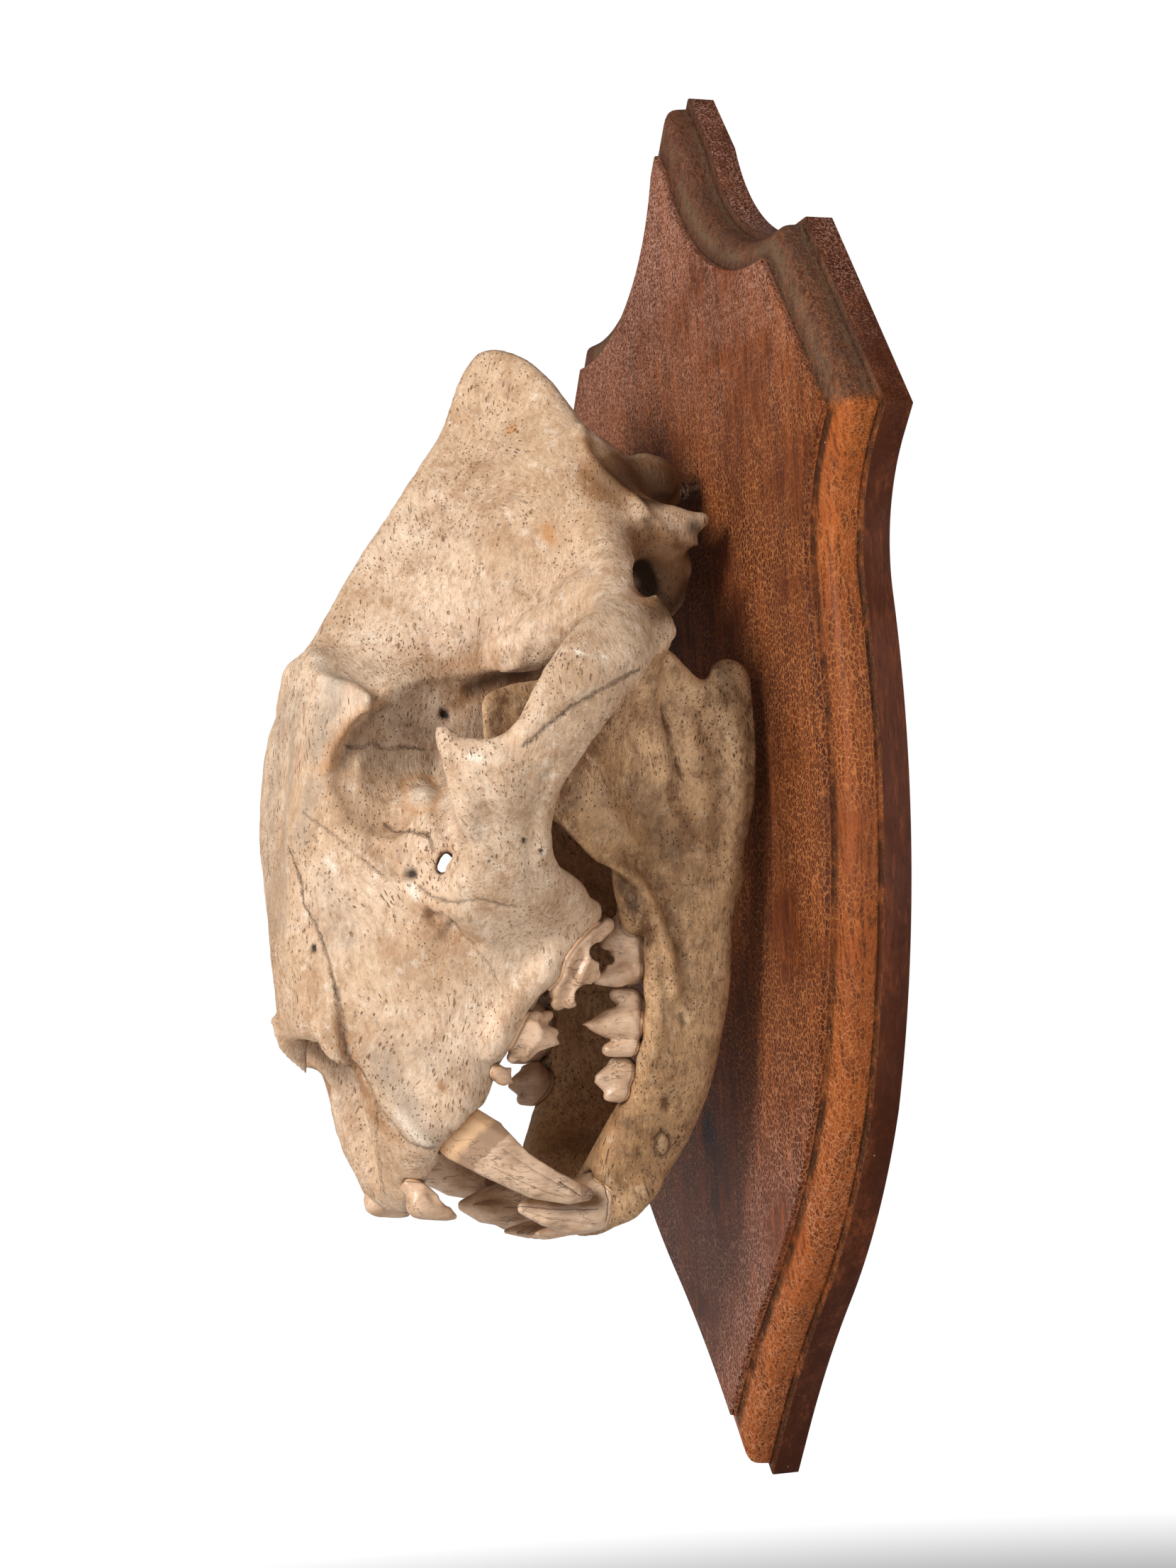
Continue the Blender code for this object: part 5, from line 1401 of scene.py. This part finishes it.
@dataclass
class Shield:
    """The carved board, from its outline and its moulding. Sizes are millimetres."""

    depth: float = 28.7
    corners: Sequence[Point] = ((0.0, 260.0), (5.0, 253.0))
    shoulder: Point = (142.0, 124.0)
    scoop: Sequence[Point] = ((33.0, 212.5), (96.5, 192.0))
    neck: Sequence[Point] = ((125.0, 97.0), (120.0, 52.0))
    belly: Sequence[Point] = ((120.5, -42.0), (97.5, -131.5))
    taper: Sequence[Point] = ((76.0, -168.0), (49.0, -199.5))
    tip: Sequence[Point] = ((23.0, -227.0), (0.0, -256.0))
    moulding_width: float = 15.4
    # Steps of the moulding from the slab's edge inwards: (inwards, outwards to the front)
    steps: Sequence[Point] = (
        (0.25, 0.5), (0.5, 0.35), (0.9, 0.1), (0.95, -0.15), (0.2, 1.2), (0.1, 2.2), (0.15, 2.2),
        (0.25, 1.6), (0.45, 1.3), (0.75, 1.15), (1.1, 1.0), (1.5, 0.8), (1.9, 0.65), (2.2, 0.6),
        (2.2, 0.45), (1.0, 0.15), (0.25, 0.5), (0.2, 2.2), (0.15, 0.5), (0.35, 0.25))
    smooth_below: float = math.radians(28)

    @staticmethod
    def arc(start: Sequence[float], middle: Sequence[float], end: Sequence[float],
            spacing: float = 2.2) -> list[Point]:
        """Read points along an arc through three points, without its first point."""
        (ax, ay), (bx, by), (cx, cy) = start, middle, end
        d = 2 * (ax * (by - cy) + bx * (cy - ay) + cx * (ay - by))
        squares = (ax * ax + ay * ay, bx * bx + by * by, cx * cx + cy * cy)
        ux = (squares[0] * (by - cy) + squares[1] * (cy - ay) + squares[2] * (ay - by)) / d
        uy = (squares[0] * (cx - bx) + squares[1] * (ax - cx) + squares[2] * (bx - ax)) / d
        radius = math.hypot(ax - ux, ay - uy)
        first, mid, last = (math.atan2(y - uy, x - ux) for x, y in (start, middle, end))
        turn = (last - first) % FULL_TURN
        if (mid - first) % FULL_TURN > turn:
            turn -= FULL_TURN
        count = max(2, round(abs(turn) * radius / spacing))
        return [(ux + radius * math.cos(first + turn * i / count),
                 uy + radius * math.sin(first + turn * i / count)) for i in range(1, count + 1)]

    @staticmethod
    def straight(start: Sequence[float], end: Sequence[float],
                 spacing: float = 4.0) -> list[Point]:
        """Read points along a straight line, without its first point."""
        count = round(math.dist(start, end) / spacing)
        return [tuple(Vector(start).lerp(Vector(end), i / count)) for i in range(1, count + 1)]

    def outline(self) -> list[Vector]:
        """Return the panel's outline, top peak first, down its left side and back up."""
        left = list(self.corners)
        left += self.arc(left[-1], *self.scoop)
        left += self.straight(left[-1], self.shoulder)
        for bend in (self.neck, self.belly, self.taper, self.tip):
            left += self.arc(left[-1], *bend)
        both = left + [(-x, z) for x, z in left[1:-1][::-1]]
        return [Vector(p) for p in both]

    def edge(self) -> list[Vector]:
        """Return the slab's outline: the panel's, moved outwards by the moulding."""
        panel = self.outline()
        moved = []
        for i, here in enumerate(panel):
            first = (here - panel[i - 1]).normalized()
            second = (panel[(i + 1) % len(panel)] - here).normalized()
            one = Vector((-first.y, first.x))
            two = Vector((-second.y, second.x))
            moved.append(here + (one + two) / (1 + one.dot(two)) * self.moulding_width)
        return moved

    def build(self) -> Piece:
        """Make the board: a face laid out, drawn up to a slab and stepped in by its moulding.

        Returns:
            The piece.
        """
        edge = self.edge()
        deselect()
        bpy.ops.mesh.primitive_circle_add(vertices=len(edge), radius=0.2, fill_type="NGON",
                                          rotation=(math.pi / 2, 0, 0))
        bpy.ops.object.transform_apply(location=False, rotation=True, scale=False)
        board = bpy.context.active_object
        board.name = "carved_shield"
        ring = list(board.data.polygons[0].vertices)
        if board.data.polygons[0].normal.y > 0:
            ring.reverse()
        for index, point in zip(ring, edge[::-1]):
            board.data.vertices[index].co = (point.x * MM, 0.0, point.y * MM)
        board.data.update()
        slab = self.depth - sum(rise for _, rise in self.steps)
        bpy.ops.object.mode_set(mode="EDIT")
        bpy.ops.mesh.select_mode(type="FACE")
        bpy.ops.mesh.select_all(action="SELECT")
        bpy.ops.mesh.extrude_region_move(
            TRANSFORM_OT_translate={"value": (0.0, -slab * MM, 0.0)})
        for inwards, rise in self.steps:
            bpy.ops.mesh.inset(thickness=inwards * MM, depth=rise * MM, use_even_offset=True,
                               use_relative_offset=False)
        bpy.ops.mesh.select_all(action="SELECT")
        bpy.ops.mesh.normals_make_consistent(inside=False)
        bpy.ops.object.mode_set(mode="OBJECT")
        bpy.ops.object.shade_smooth_by_angle(angle=self.smooth_below)
        return board


@dataclass(frozen=True)
class Lamp:
    """A soft square light, placed by how far right, up and towards the camera it stands."""

    name: str
    right: float
    up: float
    near: float
    size: float
    power: float


@dataclass
class Studio:
    """The floor and the lights."""

    floor_z: float = -0.50
    floor_size: float = 60.0
    floor_colour: Colour = (0.9, 0.9, 0.9)
    floor_glow: Colour = (0.95, 0.95, 0.95)
    glow_reach: Point = (1.0, 1.7)
    surround: float = 0.10
    backdrop: float = 1.0
    aim: Sequence[float] = (0.0, -0.1, 0.0)
    lamps: Sequence[Lamp] = (
        Lamp("key", -1.16, 0.62, 1.08, 0.60, 28.0),
        Lamp("fill", 1.3, 0.4, 1.4, 1.4, 7.5),
    )

    def build(self) -> None:
        """Set up the floor, the soft lights and an even pale surrounding."""
        bpy.context.scene.view_settings.view_transform = "Standard"
        deselect()
        bpy.ops.mesh.primitive_plane_add(size=self.floor_size, location=(0, 0, self.floor_z))
        floor = bpy.context.active_object
        floor.name = "floor"
        bpy.ops.object.transform_apply(location=True, rotation=False, scale=False)
        g = Graph("pale_floor")
        away = g.node("VectorMath", {"operation": "LENGTH"}, {0: g.place}, "Value")
        glow = g.layers((0.0, 0.0, 0.0), (away.rise(*self.glow_reach), self.floor_glow))
        floor.data.materials.append(
            g.finish(Base_Color=self.floor_colour, Roughness=0.9, Emission_Color=glow,
                     Emission_Strength=1.0))
        self._surround()
        right, up, view = CAMERA.axes()
        for lamp in self.lamps:
            data = bpy.data.lights.new(lamp.name, "AREA")
            data.size = lamp.size
            data.energy = lamp.power
            light = bpy.data.objects.new(lamp.name, data)
            offset = right * lamp.right + up * lamp.up - view * lamp.near
            light.matrix_world = (Matrix.Translation(Vector(self.aim) + offset)
                                  @ offset.to_track_quat("Z", "Y").to_matrix().to_4x4())
            bpy.context.scene.collection.objects.link(light)

    def _surround(self) -> None:
        """Make the world: even soft light, and a white backdrop where the camera sees it."""
        world = bpy.data.worlds.new("studio")
        world.use_nodes = True
        tree = world.node_tree
        path = tree.nodes.new("ShaderNodeLightPath")
        mix = tree.nodes.new("ShaderNodeMixShader")
        tree.links.new(path.outputs["Is Camera Ray"], mix.inputs[0])
        soft, white = tree.nodes["Background"], tree.nodes.new("ShaderNodeBackground")
        for slot, light, strength in ((1, soft, self.surround), (2, white, self.backdrop)):
            light.inputs["Color"].default_value = (1, 1, 1, 1)
            light.inputs["Strength"].default_value = strength
            tree.links.new(light.outputs[0], mix.inputs[slot])
        tree.links.new(mix.outputs[0], tree.nodes["World Output"].inputs["Surface"])
        bpy.context.scene.world = world


def dress(piece: Piece, finish: Material, slot: str, *nodes: str) -> None:
    """Give a piece its finish and place in the frame.

    Args:
        piece: the piece.
        finish: its material.
        slot: the record's material slot; not used.
        nodes: the CAD nodes it stands for.
    """
    piece.data.materials.clear()
    piece.data.materials.append(finish)
    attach(piece, "root")
    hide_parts(*nodes)
    LOG.info("%s: %d faces", piece.name, len(piece.data.polygons))


@dataclass
class WireTie:
    """The twisted tie between the skull's rear knuckle and the shield. Sizes are millimetres."""

    node_name: str = "fixing_wire"
    rings: int = 5
    spacing: float = 1.7
    ring: float = 2.9
    strand: float = 0.8
    core: float = 1.3
    first: float = 2.0
    lean: float = 0.16

    def build(self) -> Piece:
        """Wind the rings round the strand that runs from the knuckle to the shield.

        Returns:
            The piece.
        """
        low, high = (Vector(corner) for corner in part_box(self.node_name))
        across = (low.x + high.x) / 2
        start = Vector((across, low.y, low.z + self.core * MM))
        end = Vector((across, high.y - self.core * MM, high.z - self.core * MM))
        along = (end - start).normalized()
        parts = [hull_round([(start, self.core * MM), (end, self.core * MM)])]
        for index in range(self.rings):
            lean = Matrix.Rotation(self.lean * (-1) ** index, 4, "X")
            turn = along.to_track_quat("Z", "Y").to_matrix().to_4x4() @ lean
            deselect()
            bpy.ops.mesh.primitive_torus_add(
                location=start + along * (self.first + index * self.spacing) * MM,
                rotation=turn.to_euler(), major_radius=self.ring * MM,
                minor_radius=self.strand * MM, major_segments=32, minor_segments=12)
            parts.append(bpy.context.active_object)
        tie = join(parts)
        tie.name = "wire_tie"
        bpy.ops.object.shade_smooth()
        return tie


def main() -> None:
    """Build the scene."""
    logging.basicConfig(level=logging.INFO, format="%(message)s")
    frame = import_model()
    nodes = frame["nodes"]
    CAMERA.build()
    Studio().build()
    cranium = Cranium(nodes["cranium"]).build()
    jaws = Jaw(nodes["mandible_left"]).build()
    bones = [cranium, *jaws.values()]
    teeth = Dentition().build(nodes, surface_of(bones))
    shield = Shield().build()
    skin = [*bones, *teeth.values()]
    for piece in skin:
        activate(piece)
        bpy.ops.object.shade_smooth()
    measure_openness(surface_of([*skin, shield]), skin, RAYS)
    dress(cranium, BoneFinish().make(), "bone", "cranium")
    # the jaw's finish: browner, and darker also as painted shade for the arch's shadow
    browner_shaded_jaw_finish = JawFinish().make()
    for side, jaw in jaws.items():
        dress(jaw, browner_shaded_jaw_finish, "bone", f"mandible_{side}")
    enamel = ToothFinish().make()
    for name, tooth in teeth.items():
        dress(tooth, enamel, "tooth", name)
    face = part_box("shield")[0][1]
    dress(shield, WoodFinish().make(face), "wood", "shield")
    dress(WireTie().build(), WireFinish().make(), "wire", "fixing_wire")


if __name__ == "__main__":
    main()
